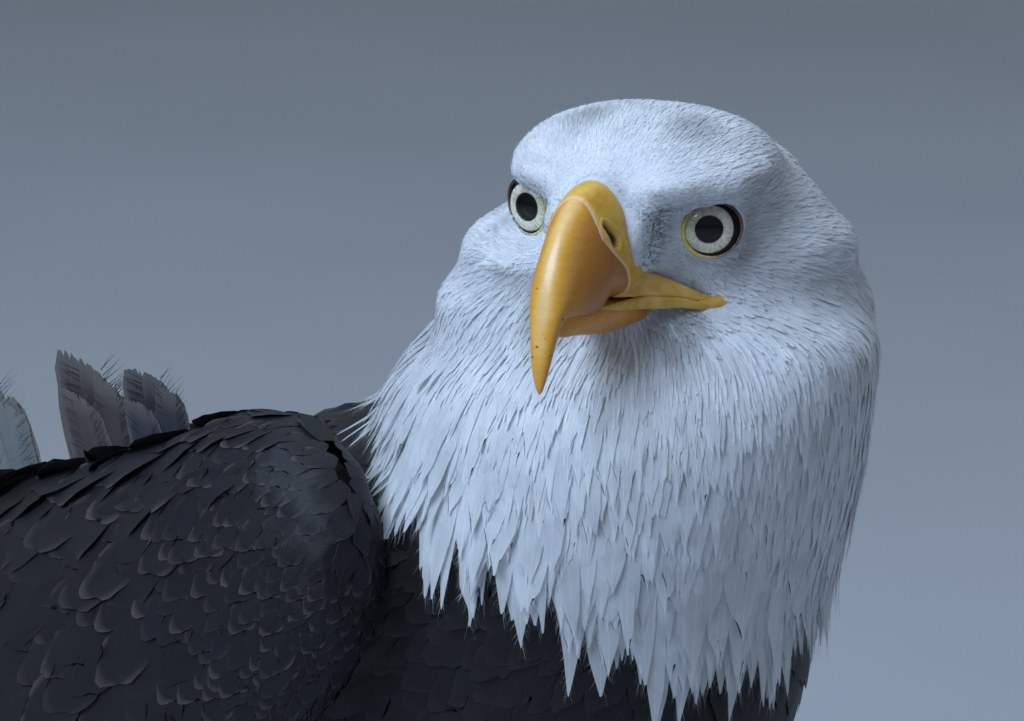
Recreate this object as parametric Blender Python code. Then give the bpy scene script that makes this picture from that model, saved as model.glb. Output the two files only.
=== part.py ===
"""Adult bald eagle, life size, standing with its wings folded and its head turned to its right.

The bird faces -Y, its left is +X and up is +Z. Sizes are in millimetres in the tables and become metres
when they are placed. A body point is written (forward, left, up), a head point the same way from the
middle between the two eyes. The origin is on the floor, under the middle of the bird.
"""

import math

import bmesh
import bpy
from mathutils import Matrix, Vector

MM = 0.001
GAP = 0.3  # between pieces that touch

# Driving dimensions
HEAD_TURN = 74.0  # degrees to the bird's right
HEAD_PITCH = 2.4  # degrees, bill down
EYES_MIDDLE = (170.0, -34.0, 462.0)  # between the pupils, body point
EYE_RADIUS = 12.0
EYE_FRONTS = {"left": (3.9, 30.1, -2.6), "right": (3.9, -32.0, -1.1)}  # front of each eyeball, head points
EYE_LOOKS_OUT = {"left": 30.0, "right": 20.0}  # degrees from straight ahead
LEG_SPREAD = 53.0  # each leg's distance from the middle
FOOT_FORWARD = 8.0  # where the toes meet
ANKLE = (-19.0, 106.0)  # forward, up
SOLE = 0.0

WHITE = (0.84, 0.87, 0.90)
DARK_BROWN = (0.045, 0.036, 0.034)
FLIGHT_BROWN = (0.035, 0.029, 0.028)
YELLOW = (0.80, 0.42, 0.05)
HORN_YELLOW = (0.78, 0.36, 0.05)
HORN_BLACK = (0.02, 0.02, 0.022)
IRIS = (0.72, 0.66, 0.48)


# ---------------------------------------------------------------- frames and objects


def clear_scene():
    for obj in list(bpy.data.objects):
        bpy.data.objects.remove(obj)


def body_point(forward, left, up):
    return Vector((left, -forward, up)) * MM


def body_frame():
    """Matrix from (forward, left, up) to world directions."""
    return Matrix(((0, 1, 0, 0), (-1, 0, 0, 0), (0, 0, 1, 0), (0, 0, 0, 1)))


def head_frame():
    """Matrix from head points in millimetres to the world."""
    turn = Matrix.Rotation(-math.radians(HEAD_TURN), 4, "Z")
    nod = Matrix.Rotation(math.radians(HEAD_PITCH), 4, "Y")
    place = Matrix.Translation(body_point(*EYES_MIDDLE))
    return place @ body_frame() @ turn @ nod @ Matrix.Scale(MM, 4)


def head_point(forward, left, up):
    return head_frame() @ Vector((forward, left, up))


def material(name, colour, roughness):
    found = bpy.data.materials.get(name)
    if found:
        return found
    made = bpy.data.materials.new(name)
    made.use_nodes = True
    shader = made.node_tree.nodes["Principled BSDF"]
    shader.inputs["Base Color"].default_value = (*colour, 1.0)
    shader.inputs["Roughness"].default_value = roughness
    shader.inputs["Metallic"].default_value = 0.0
    made.diffuse_color = (*colour, 1.0)
    return made


def feathers_white():
    return material("white_feather", WHITE, 0.8)


def feathers_brown():
    return material("brown_feather", DARK_BROWN, 0.7)


def flight_feathers():
    return material("flight_feather", FLIGHT_BROWN, 0.6)


def bill_horn():
    return material("bill_horn", HORN_YELLOW, 0.35)


def yellow_skin():
    return material("yellow_skin", YELLOW, 0.45)


def black_horn():
    return material("black_horn", HORN_BLACK, 0.3)


def add_object(name, mesh, look=None):
    obj = bpy.data.objects.new(name, mesh)
    bpy.context.scene.collection.objects.link(obj)
    if look:
        mesh.materials.clear()
        mesh.materials.append(look)
    return obj


def closed_mesh(name, points, faces):
    """A mesh from points and faces, normals turned outwards."""
    mesh = bpy.data.meshes.new(name)
    mesh.from_pydata(points, [], faces)
    shape = bmesh.new()
    shape.from_mesh(mesh)
    bmesh.ops.recalc_face_normals(shape, faces=shape.faces)
    shape.to_mesh(mesh)
    shape.free()
    return mesh


def apply_modifiers(obj):
    """The object keeps the shape that its modifiers give it, without them."""
    bpy.context.view_layer.update()
    graph = bpy.context.evaluated_depsgraph_get()
    shaped = bpy.data.meshes.new_from_object(obj.evaluated_get(graph))
    obj.modifiers.clear()
    obj.data = shaped
    return obj


def shade(obj, sharp_degrees=40.0):
    obj.data.shade_smooth()
    obj.data.set_sharp_from_angle(angle=math.radians(sharp_degrees))
    return obj


def grown_copy(obj, by=GAP):
    """A cutter of the same shape, larger by a gap all round."""
    cutter = add_object(obj.name + "_cutter", obj.data.copy())
    cutter.matrix_world = obj.matrix_world.copy()
    grow = cutter.modifiers.new("grow", "DISPLACE")
    grow.strength = by * MM
    grow.mid_level = 0.0
    apply_modifiers(cutter)
    cutter.hide_render = True
    cutter.display_type = "WIRE"
    return cutter


def boolean(obj, other, operation):
    step = obj.modifiers.new(operation.lower(), "BOOLEAN")
    step.operation = operation
    step.object = other
    return apply_modifiers(obj)


def cut_with(obj, *others, by=GAP):
    for other in others:
        cutter = grown_copy(other, by)
        boolean(obj, cutter, "DIFFERENCE")
        bpy.data.objects.remove(cutter)
    return obj


def join_with(obj, other):
    boolean(obj, other, "UNION")
    bpy.data.objects.remove(other)
    return obj


def slice_off(obj, point, normal):
    """Removes what lies beyond a plane, and closes the cut."""
    shape = bmesh.new()
    shape.from_mesh(obj.data)
    everything = shape.verts[:] + shape.edges[:] + shape.faces[:]
    cut = bmesh.ops.bisect_plane(
        shape, geom=everything, plane_co=point, plane_no=normal, clear_outer=True, dist=1e-7
    )
    rim = [e for e in cut["geom_cut"] if isinstance(e, bmesh.types.BMEdge)]
    bmesh.ops.contextual_create(shape, geom=rim)
    bmesh.ops.triangulate(shape, faces=shape.faces[:])
    bmesh.ops.recalc_face_normals(shape, faces=shape.faces)
    shape.to_mesh(obj.data)
    shape.free()
    return obj


def loft(name, rings, look=None):
    """A closed surface through rings of points. A ring of one point is a tip."""
    points, faces, starts = [], [], []
    for ring in rings:
        starts.append(len(points))
        points.extend(ring)
    around = max(len(ring) for ring in rings)
    for ring, after, a, b in zip(rings, rings[1:], starts, starts[1:]):
        for i in range(around):
            j = (i + 1) % around
            if len(ring) == 1:
                faces.append((a, b + j, b + i))
            elif len(after) == 1:
                faces.append((a + i, a + j, b))
            else:
                faces.append((a + i, a + j, b + j, b + i))
    for ring, start in ((rings[0], starts[0]), (rings[-1], starts[-1])):
        if len(ring) > 1:
            faces.append(tuple(range(start, start + around)))
    obj = add_object(name, closed_mesh(name, points, faces), look)
    return obj


def smooth_between(stations, position):
    """Catmull-Rom value of a table of (position, values...) rows, in rising or falling order."""
    rows = sorted(stations)
    keys = [row[0] for row in rows]
    position = min(max(position, keys[0]), keys[-1])
    last = max(i for i, key in enumerate(keys) if key <= position)
    last = min(last, len(rows) - 2)
    span = keys[last + 1] - keys[last]
    t = (position - keys[last]) / span
    values = []
    for column in range(1, len(rows[0])):
        here, after = rows[last][column], rows[last + 1][column]
        before = rows[last - 1][column] if last else here
        beyond = rows[last + 2][column] if last + 2 < len(rows) else after
        before_key = keys[last - 1] if last else keys[last] - span
        beyond_key = keys[last + 2] if last + 2 < len(rows) else keys[last + 1] + span
        slope_a = (after - before) / (keys[last + 1] - before_key) * span
        slope_b = (beyond - here) / (beyond_key - keys[last]) * span
        values.append(
            (2 * t**3 - 3 * t**2 + 1) * here
            + (t**3 - 2 * t**2 + t) * slope_a
            + (-2 * t**3 + 3 * t**2) * after
            + (t**3 - t**2) * slope_b
        )
    return values


# ---------------------------------------------------------------- head, neck and trunk

# Rounded masses of the head, as head points: middle, half sizes forward, left and up, squareness
# (2 is an ellipsoid), and turn in degrees (positive to the left)
HEAD_MASSES = {
    "crown": ((-22, -1, 8.5), (33, 43, 20), 2.25, 0),
    "cranium": ((-40, 0, -14), (37, 51, 30), 2.1, 0),
    "face": ((-3, 0, -8), (26, 20, 17), 2.0, 0),
    "forehead": ((12, 0, 6), (15, 13, 9.5), 2.0, 0),
    "throat": ((-12, 0, -30), (26, 19, 7), 2.0, 0),
    "brow": ((-1, 28, 12), (25, 10, 5.5), 2.0, 146),
    "cheek": ((-28, 24, -27), (25, 24, 16), 2.0, 0),
    "jowl": ((-28, 0, -18), (36, 64, 22), 2.0, 24),
    "ruff": ((-35, -5, -38), (44, 71, 30), 2.0, 24),
}
PAIRED_MASSES = ("brow", "cheek")
# Rows along the body, from the tail to the head: middle (forward, left, up), half sizes, pitch (front up)
BODY_LINE = (
    ((-175, 0, 196), (50, 36, 22), 27),
    ((-120, 0, 222), (70, 52, 46), 25),
    ((-55, 0, 250), (90, 72, 72), 23),
    ((10, 0, 275), (100, 79, 84), 20),
    ((60, 0, 292), (104, 82, 88), 15),
    ((98, 0, 308), (102, 82, 88), 8),
    ((124, 0, 342), (82, 80, 62), 3),
    ((139, 2, 371), (80, 76, 48), 0),
    ((147, 0, 394), (80, 70, 38), 0),
    ((155, 6, 416), (76, 54, 28), 0),
)
STEPS_BETWEEN_ROWS = 4
HEAD_TRIANGLES = 3620  # before the rest is cut away
BODY_TRIANGLES = 1960
BODY_VOXEL = 3.0
SKIN_ROUNDING = 10  # smoothing passes that blend the masses
MASS_DETAIL = 4  # subdivisions of the ball that each mass starts as


def add_mass(shape, middle, half_sizes, squareness, pitch, turn, frame):
    lean = Matrix.Rotation(-math.radians(pitch), 4, "Y")
    yaw = Matrix.Rotation(math.radians(turn), 4, "Z")
    size = Matrix.Diagonal((*half_sizes, 1.0))
    place = frame @ Matrix.Translation(middle) @ yaw @ lean @ size
    ball = bmesh.ops.create_icosphere(shape, subdivisions=MASS_DETAIL, radius=1.0)
    for vert in ball["verts"]:
        reach = sum(abs(c) ** squareness for c in vert.co) ** (1 / squareness)
        vert.co = place @ (vert.co / reach)


def body_line_at(position):
    """Middle, half sizes and pitch at a place along the body, in rows."""
    rows = [(i, *middle, *half_sizes, pitch) for i, (middle, half_sizes, pitch) in enumerate(BODY_LINE)]
    values = smooth_between(rows, position)
    return values[0:3], values[3:6], values[6]


def whole_body():
    """Head, neck and trunk as one rounded mass."""
    shape = bmesh.new()
    head = head_frame()
    for name, (middle, half_sizes, squareness, turn) in HEAD_MASSES.items():
        add_mass(shape, middle, half_sizes, squareness, 0, turn, head)
        if name in PAIRED_MASSES:
            mirrored = (middle[0], -middle[1], middle[2])
            add_mass(shape, mirrored, half_sizes, squareness, 0, -turn, head)
    body = Matrix.Scale(MM, 4) @ body_frame()
    for step in range((len(BODY_LINE) - 1) * STEPS_BETWEEN_ROWS + 1):
        middle, half_sizes, pitch = body_line_at(step / STEPS_BETWEEN_ROWS)
        add_mass(shape, middle, half_sizes, 2.0, pitch, 0, body)
    mesh = bpy.data.meshes.new("whole_body")
    shape.to_mesh(mesh)
    shape.free()
    whole = add_object("whole_body", mesh)
    skin = whole.modifiers.new("skin", "REMESH")
    skin.mode = "VOXEL"
    skin.voxel_size = BODY_VOXEL * MM
    blend = whole.modifiers.new("blend", "SMOOTH")
    blend.factor = 0.5
    blend.iterations = SKIN_ROUNDING
    return apply_modifiers(whole)


def thinned_copy(obj, name, triangles, look):
    """A copy of the surface in about that many triangles."""
    copy = add_object(name, obj.data.copy(), look)
    thin = copy.modifiers.new("thin", "DECIMATE")
    thin.ratio = triangles / (2 * len(obj.data.polygons))
    thin.use_collapse_triangulate = True
    return apply_modifiers(copy)


# The cuts between the parts: a body point, and the way towards the tail side
HEAD_CUT = ((150, 0, 432), (-0.10, 0.30, -1.0))
NECK_CUT = ((115, 0, 350), (-0.45, 0.0, -0.89))


def cut_plane(cut, offset):
    (point, away) = cut
    normal = (body_frame() @ Vector(away)).normalized()
    return body_point(*point) + normal * offset * MM, normal


# The hollow in front of each eye, from the middle of its ball
LID_HOLLOW_AHEAD = 8.5
LID_HOLLOW_TURN = 15.0  # degrees further out than the eye looks
LID_HOLLOW_LOW = 1.5
LID_HOLLOW_RADIUS = 11.0


def make_head(whole):
    head = thinned_copy(whole, "head", HEAD_TRIANGLES, feathers_white())
    return slice_off(head, *cut_plane(HEAD_CUT, -GAP / 2))


def make_neck(body):
    neck = add_object("neck", body.data.copy(), feathers_white())
    slice_off(neck, *cut_plane(NECK_CUT, -GAP / 2))
    point, normal = cut_plane(HEAD_CUT, GAP / 2)
    return slice_off(neck, point, -normal)


def make_trunk(body):
    trunk = add_object("trunk", body.data.copy(), feathers_brown())
    point, normal = cut_plane(NECK_CUT, GAP / 2)
    return slice_off(trunk, point, -normal)


# ---------------------------------------------------------------- eyes and bill


def eye_axis(side, further_out=0.0):
    look = math.radians(EYE_LOOKS_OUT[side] + further_out) * (1 if side == "left" else -1)
    return Vector((math.cos(look), math.sin(look), 0))


def eye_middle(side):
    return Vector(EYE_FRONTS[side]) - eye_axis(side) * EYE_RADIUS


def ball(name, middle, radius, look=None):
    shape = bmesh.new()
    bmesh.ops.create_icosphere(shape, subdivisions=2, radius=radius * MM)
    mesh = bpy.data.meshes.new(name)
    shape.to_mesh(mesh)
    shape.free()
    made = add_object(name, mesh, look)
    made.location = head_point(*middle)
    return made


def make_eye(side):
    eye = ball("eye_" + side, eye_middle(side), EYE_RADIUS, material("eye", IRIS, 0.1))
    return shade(eye)


def open_lids(head, side):
    """Hollows the face in front of an eye, below the brow."""
    ahead = eye_axis(side, LID_HOLLOW_TURN) * LID_HOLLOW_AHEAD
    middle = eye_middle(side) + ahead - Vector((0, 0, LID_HOLLOW_LOW))
    hollow = ball("hollow", middle, LID_HOLLOW_RADIUS)
    boolean(head, hollow, "DIFFERENCE")
    bpy.data.objects.remove(hollow)


BILL_SIDES = 14


def bill_ring(top, bottom, half_width, lean, squareness=2.3):
    """A ring of head points: from its top to its bottom, leaning forward at the foot by lean."""
    ring = []
    middle_up = (top[1] + bottom[1]) / 2
    middle_forward = (top[0] + bottom[0]) / 2
    along = Vector((top[0] - bottom[0], 0, top[1] - bottom[1])) / 2
    for i in range(BILL_SIDES):
        angle = 2 * math.pi * i / BILL_SIDES
        c, s = math.cos(angle), math.sin(angle)
        power = 2 / squareness
        up = math.copysign(abs(c) ** power, c)
        out = math.copysign(abs(s) ** power, s)
        narrowing = 1 - lean * up  # narrower at the ridge where lean is positive
        point = Vector((middle_forward, 0, middle_up)) + along * up
        point.y = half_width * out * narrowing
        ring.append(head_point(*point))
    return ring


# Rows: ridge (forward, up), underside (forward, up), half width, ridge narrowing
CERE = (
    ((14.0, 13.0), (10.0, -21.0), 11.5, 0.16),
    ((22.0, 14.4), (19.0, -20.8), 11.8, 0.20),
    ((29.0, 14.4), (25.0, -20.4), 11.2, 0.24),
    ((35.5, 12.4), (30.0, -19.6), 10.2, 0.26),
)
UPPER_BILL = (
    ((35.9, 12.3), (30.4, -19.6), 10.2, 0.26),
    ((43.0, 8.6), (37.5, -21.6), 9.4, 0.26),
    ((50.0, 2.0), (44.0, -22.2), 8.6, 0.24),
    ((55.5, -6.0), (49.0, -22.2), 7.6, 0.20),
    ((59.5, -15.0), (53.0, -24.0), 6.4, 0.14),
    ((62.2, -24.0), (56.8, -28.6), 5.0, 0.10),
    ((63.6, -32.0), (60.0, -34.4), 3.2, 0.05),
)
UPPER_BILL_TIP = (63.1, 0.0, -41.0)
LOWER_BILL = (
    ((0.0, -22.6), (-2.0, -32.5), 12.5, 0.0),
    ((18.0, -21.4), (17.0, -32.0), 11.6, 0.0),
    ((29.0, -20.4), (28.0, -30.9), 9.6, 0.0),
    ((38.0, -21.6), (38.0, -29.0), 8.2, 0.0),
    ((46.0, -22.2), (46.0, -27.3), 6.4, 0.0),
    ((51.5, -22.9), (51.5, -26.2), 3.6, 0.0),
)
LOWER_BILL_TIP = (54.0, 0.0, -24.9)
GAPE = ((20.0, 9.5, -22.6), (8.0, 17.5, -23.2), (-1.0, 24.0, -25.4), (-7.5, 28.6, -28.0))
GAPE_RADII = (3.4, 3.0, 2.4, 1.2)


def make_cere():
    return shade(loft("cere", [bill_ring(*row) for row in CERE], yellow_skin()))


def make_upper_bill():
    rings = [bill_ring(*row) for row in UPPER_BILL] + [[head_point(*UPPER_BILL_TIP)]]
    return shade(loft("bill_upper", rings, bill_horn()))


def tube(name, centres, radii, sides, look=None, flatten=1.0, up=Vector((0, 0, 1))):
    """A closed tube along centres in world metres, with radii in millimetres."""
    rings = []
    for i, (centre, radius) in enumerate(zip(centres, radii)):
        before, after = centres[max(i - 1, 0)], centres[min(i + 1, len(centres) - 1)]
        along = (after - before).normalized()
        side = along.cross(up).normalized()
        over = side.cross(along)
        angles = [2 * math.pi * (k + 0.5) / sides for k in range(sides)]
        rings.append(
            [
                centre + (side * math.cos(a) + over * math.sin(a) * flatten) * radius * MM
                for a in angles
            ]
        )
    return loft(name, rings, look)


def make_lower_bill():
    rings = [bill_ring(*row) for row in LOWER_BILL] + [[head_point(*LOWER_BILL_TIP)]]
    lower = loft("bill_lower", rings, bill_horn())
    for sign in (1, -1):
        centres = [head_point(x, y * sign, z) for x, y, z in GAPE]
        strip = tube("gape_strip", centres, GAPE_RADII, 8, flatten=1.15)
        join_with(lower, strip)
    return shade(lower)


# ---------------------------------------------------------------- wings

# Rows: forward, left, up of the middle of the section, half height, half thickness, lean of the top inwards
WING_SECTIONS = (
    (122.0, 96.0, 350.0, 7.0, 5.0, 6.0),
    (118.0, 95.0, 349.0, 22.0, 14.0, 6.0),
    (106.0, 93.5, 346.0, 39.0, 21.0, 7.0),
    (84.0, 92.0, 339.0, 57.0, 26.0, 9.0),
    (52.0, 91.0, 326.0, 65.0, 28.0, 12.0),
    (14.0, 90.0, 305.0, 70.0, 27.0, 16.0),
    (-28.0, 86.0, 286.0, 73.0, 25.0, 19.0),
    (-75.0, 79.0, 271.0, 76.0, 22.0, 23.0),
    (-130.0, 68.0, 247.0, 70.0, 18.0, 28.0),
    (-200.0, 53.0, 214.0, 55.0, 13.0, 34.0),
    (-280.0, 39.0, 177.0, 37.0, 8.0, 40.0),
    (-350.0, 28.0, 147.0, 23.0, 5.0, 46.0),
    (-405.0, 21.0, 124.0, 12.0, 3.0, 50.0),
)
WING_NOSE = (125.0, 96.0, 350.0)
WING_TIP = (-432.0, 17.0, 112.0)
WING_SIDES = 14


def wing_section(forward, left, up, half_height, half_thickness, lean, sign):
    ring = []
    tilt = math.radians(lean)
    for i in range(WING_SIDES):
        angle = 2 * math.pi * i / WING_SIDES
        high = half_height * math.cos(angle)
        out = half_thickness * math.sin(angle)
        across = out * math.cos(tilt) - high * math.sin(tilt)
        rise = out * math.sin(tilt) + high * math.cos(tilt)
        ring.append(body_point(forward, (left + across) * sign, up + rise))
    return ring


def whole_wing(side):
    sign = 1 if side == "left" else -1
    rings = [[body_point(WING_NOSE[0], WING_NOSE[1] * sign, WING_NOSE[2])]]
    rings += [wing_section(*row, sign) for row in WING_SECTIONS]
    rings.append([body_point(WING_TIP[0], WING_TIP[1] * sign, WING_TIP[2])])
    return loft("wing_" + side, rings)


# The cuts across and along a folded wing: a body point, and the way towards the hind part
WING_CUT = ((-30, 0, 290), (-0.93, 0.0, -0.36))
FLIGHT_CUT = ((-180, 0, 232), (0.33, 0.0, -1.0))


def make_wing(side, body, tail):
    whole = whole_wing(side)
    cut_with(whole, body)
    cut_with(keep_largest(whole), tail)
    keep_largest(whole)
    parts = []
    across_front, across = cut_plane(WING_CUT, -GAP / 2)
    across_back, _ = cut_plane(WING_CUT, GAP / 2)
    along_high, along = cut_plane(FLIGHT_CUT, -GAP / 2)
    along_low, _ = cut_plane(FLIGHT_CUT, GAP / 2)
    shoulder = add_object(f"wing_{side}_shoulder", whole.data.copy(), feathers_brown())
    slice_off(shoulder, across_front, across)
    secondaries = add_object(f"wing_{side}_secondaries", whole.data.copy(), flight_feathers())
    slice_off(secondaries, across_back, -across)
    slice_off(secondaries, along_high, along)
    primaries = add_object(f"wing_{side}_primaries", whole.data.copy(), flight_feathers())
    slice_off(primaries, across_back, -across)
    slice_off(primaries, along_low, -along)
    bpy.data.objects.remove(whole)
    for part in (shoulder, secondaries, primaries):
        parts.append(shade(keep_largest(part)))
    return parts


def keep_largest(obj):
    """Drops the loose crumbs that a cut leaves."""
    shape = bmesh.new()
    shape.from_mesh(obj.data)
    left = set(shape.verts)
    islands = []
    while left:
        island, edge = set(), [left.pop()]
        while edge:
            vert = edge.pop()
            island.add(vert)
            for link in vert.link_edges:
                other = link.other_vert(vert)
                if other in left:
                    left.discard(other)
                    edge.append(other)
        islands.append(island)
    islands.sort(key=len)
    for island in islands[:-1]:
        bmesh.ops.delete(shape, geom=list(island), context="VERTS")
    shape.to_mesh(obj.data)
    shape.free()
    return obj


# ---------------------------------------------------------------- tail

# Rows: forward, up, half width, half thickness, crown (how far the edges droop)
TAIL_SECTIONS = (
    (-172.0, 196.0, 38.0, 9.0, 6.0),
    (-230.0, 168.0, 40.0, 6.5, 7.0),
    (-300.0, 135.0, 47.0, 4.5, 8.0),
    (-370.0, 103.0, 55.0, 3.5, 9.0),
    (-428.0, 78.0, 60.0, 2.5, 9.0),
    (-446.0, 70.0, 46.0, 1.8, 6.0),
)
TAIL_SIDES = 14


def tail_section(forward, up, half_width, half_thickness, crown):
    ring = []
    for i in range(TAIL_SIDES):
        angle = 2 * math.pi * i / TAIL_SIDES
        across = half_width * math.cos(angle)
        droop = crown * (across / half_width) ** 2
        high = half_thickness * math.sin(angle)
        ring.append(body_point(forward, across, up - droop + high))
    return ring


def make_tail(body):
    tail = loft("tail", [tail_section(*row) for row in TAIL_SECTIONS], feathers_white())
    cut_with(tail, body)
    return shade(keep_largest(tail))


# ---------------------------------------------------------------- legs

# Rows: up, forward, half size forward, half size left
THIGH_SECTIONS = (
    (242.0, 10.0, 42.0, 26.0),
    (222.0, 8.0, 50.0, 34.0),
    (195.0, 3.0, 50.0, 35.0),
    (165.0, -7.0, 44.0, 32.0),
    (138.0, -14.0, 35.0, 27.0),
    (116.0, -18.0, 26.0, 22.0),
    (98.0, -18.0, 17.0, 16.0),
    (88.0, -15.0, 10.5, 10.5),
)
THIGH_SIDES = 12
TARSUS_RADII = (8.6, 8.2, 8.4, 9.6, 11.5)
TARSUS_SIDES = 10
HEEL_RADIUS = 12.5
HEEL_STRETCH = (1.0, 1.15, 0.95)  # across, along and up
HEEL_SEGMENTS = (10, 7)
HEEL_HEIGHT = 0.7  # of its middle, in radii

# name: heading in degrees (0 ahead, positive outwards), toe length, radius at root, radius at claw,
# claw length, claw root radius
TOES = {
    "middle": (7.0, 74.0, 8.6, 6.2, 38.0, 5.4),
    "inner": (-32.0, 52.0, 8.8, 6.6, 41.0, 5.8),
    "outer": (47.0, 58.0, 8.0, 5.8, 33.0, 4.8),
    "hind": (176.0, 40.0, 8.8, 6.8, 43.0, 6.0),
}
# Along a toe: share of its length, swelling of the pads, lift off the floor
TOE_JOINTS = (
    (0.0, 1.0, 1.5),
    (0.25, 1.06, 0.0),
    (0.42, 0.90, 0.0),
    (0.56, 1.04, 0.0),
    (0.72, 0.90, 0.0),
    (0.86, 1.06, 1.2),
    (1.0, 0.90, 6.2),
)
TOE_SIDES = 8
SOLE_SINK = 0.86  # height of a toe's middle line, in radii: the rest is the flat underneath
CLAW_SIDES = 6
CLAW_STEPS = 5
CLAW_POINT = 0.35  # radius at the point
CLAW_CLEARANCE = 1.0


def thigh_section(side_sign, up, forward, half_forward, half_left):
    ring = []
    for i in range(THIGH_SIDES):
        angle = 2 * math.pi * i / THIGH_SIDES
        ring.append(
            body_point(
                forward + half_forward * math.cos(angle),
                side_sign * LEG_SPREAD + half_left * math.sin(angle),
                up,
            )
        )
    return ring


def make_thigh(side, body, wing_parts):
    sign = 1 if side == "left" else -1
    rings = [thigh_section(sign, *row) for row in THIGH_SECTIONS]
    thigh = loft(f"thigh_{side}", rings, feathers_brown())
    cut_with(thigh, body)
    keep_largest(thigh)
    for part in wing_parts:
        cut_with(thigh, part)
    return shade(keep_largest(thigh))


def leg_base(side):
    sign = 1 if side == "left" else -1
    return sign * LEG_SPREAD


def make_tarsus(side, thigh):
    left = leg_base(side)
    ankle = body_point(ANKLE[0], left, ANKLE[1])
    heel = body_point(FOOT_FORWARD, left, HEEL_RADIUS * HEEL_HEIGHT)
    steps = len(TARSUS_RADII)
    centres = [ankle.lerp(heel, i / (steps - 1)) for i in range(steps)]
    forward = body_frame() @ Vector((1, 0, 0))
    tarsus = tube(f"tarsus_{side}", centres, TARSUS_RADII, TARSUS_SIDES, yellow_skin(), 1.1, forward)
    shape = bmesh.new()
    place = Matrix.Translation(heel) @ Matrix.Diagonal((*HEEL_STRETCH, 1.0))
    across, high = HEEL_SEGMENTS
    bmesh.ops.create_uvsphere(
        shape, u_segments=across, v_segments=high, radius=HEEL_RADIUS * MM, matrix=place
    )
    mesh = bpy.data.meshes.new("heel")
    shape.to_mesh(mesh)
    shape.free()
    join_with(tarsus, add_object("heel", mesh))
    slice_off(tarsus, Vector((0, 0, SOLE)), Vector((0, 0, -1)))
    cut_with(tarsus, thigh)
    return shade(keep_largest(tarsus))


def toe_heading(heading, sign):
    angle = math.radians(heading) * sign
    return body_frame() @ Vector((math.cos(angle), math.sin(angle), 0))


def make_toe(side, name, neighbours):
    heading, length, root, end, claw_length, claw_root = TOES[name]
    sign = 1 if side == "left" else -1
    ahead = toe_heading(heading, sign)
    start = body_point(FOOT_FORWARD, leg_base(side), 0)
    up = Vector((0, 0, 1))
    centres, radii = [], []
    for share, swell, lift in TOE_JOINTS:
        radius = (root + (end - root) * share) * swell
        centres.append(start + ahead * length * share * MM + up * (radius * SOLE_SINK + lift) * MM)
        radii.append(radius)
    toe = tube(f"toe_{side}_{name}", centres, radii, TOE_SIDES, yellow_skin(), 1.0, up)
    slice_off(toe, Vector((0, 0, SOLE)), Vector((0, 0, -1)))
    cut_with(toe, *neighbours)
    shade(keep_largest(toe))
    along = (centres[-1] - centres[-2]).normalized()
    make_claw(side, name, centres[-1] + along * GAP * MM, along, ahead, claw_length, claw_root)
    return toe


def claw_path(root, along, ahead, length, turn):
    """Points of an arc that carries on from the toe and turns down by so many degrees."""
    up = Vector((0, 0, 1))
    bend = math.radians(turn) / (CLAW_STEPS - 1)
    heading = math.atan2(along.z, along.dot(ahead))
    path = [root]
    for _ in range(CLAW_STEPS):
        way = ahead * math.cos(heading) + up * math.sin(heading)
        path.append(path[-1] + way * (length / CLAW_STEPS) * MM)
        heading -= bend
    return path


def make_claw(side, name, root, along, ahead, length, root_radius):
    """A tapering claw, turned down just far enough for its point to rest on the floor."""
    turn = 0
    centres = claw_path(root, along, ahead, length, turn)
    while centres[-1].z > SOLE + CLAW_CLEARANCE * MM:
        turn += 1
        centres = claw_path(root, along, ahead, length, turn)
    thinning = [(1 - step / CLAW_STEPS) ** 0.8 for step in range(CLAW_STEPS + 1)]
    radii = [root_radius * thin + CLAW_POINT for thin in thinning]
    name = f"claw_{side}_{name}"
    return shade(tube(name, centres, radii, CLAW_SIDES, black_horn(), 1.15, Vector((0, 0, 1))))


# ---------------------------------------------------------------- raised feathers

# name: root and tip as body points, half width
RAISED_FEATHERS = {
    "front": ((-24.0, -22.0, 310.0), (-38.0, -22.0, 382.0), 9.5),
    "middle": ((-50.0, -22.0, 300.0), (-69.0, -22.0, 381.0), 11.0),
    "rear": ((-88.0, -20.0, 280.0), (-114.0, -20.0, 370.0), 11.0),
}
FEATHER_HALF_THICKNESS = 0.6
ACROSS_RAISED_FEATHERS = Vector((0.643, -0.766, 0.0))
# Along a raised feather: share of its length, share of its half width
RAISED_FEATHER_OUTLINE = ((0.0, 0.45), (0.25, 0.85), (0.5, 1.0), (0.75, 0.85), (0.92, 0.45), (1.0, 0.08))


def make_raised_feather(name, blockers):
    root, tip, half_width = RAISED_FEATHERS[name]
    start, end = body_point(*root), body_point(*tip)
    along = end - start
    face = ACROSS_RAISED_FEATHERS.cross(along).normalized()
    across = along.cross(face).normalized()
    rings = []
    for share, width in RAISED_FEATHER_OUTLINE:
        middle = start + along * share
        w = across * half_width * width * MM
        t = face * FEATHER_HALF_THICKNESS * MM
        rings.append([middle - w - t, middle + w - t, middle + w + t, middle - w + t])
    feather = loft(f"raised_feather_{name}", rings, flight_feathers())
    for blocker in blockers:
        cut_with(feather, blocker)
    return keep_largest(feather)


# ---------------------------------------------------------------- the bird


def stand_on_origin():
    """Moves every piece so that the origin is on the floor under the middle of the bird."""
    bpy.context.view_layer.update()
    corners = []
    for obj in bpy.data.objects:
        corners += [obj.matrix_world @ vert.co for vert in obj.data.vertices]
    low = Vector([min(c[i] for c in corners) for i in range(3)])
    high = Vector([max(c[i] for c in corners) for i in range(3)])
    shift = Vector((-(low.x + high.x) / 2, -(low.y + high.y) / 2, -low.z))
    for obj in bpy.data.objects:
        obj.location = obj.location + shift


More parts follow.
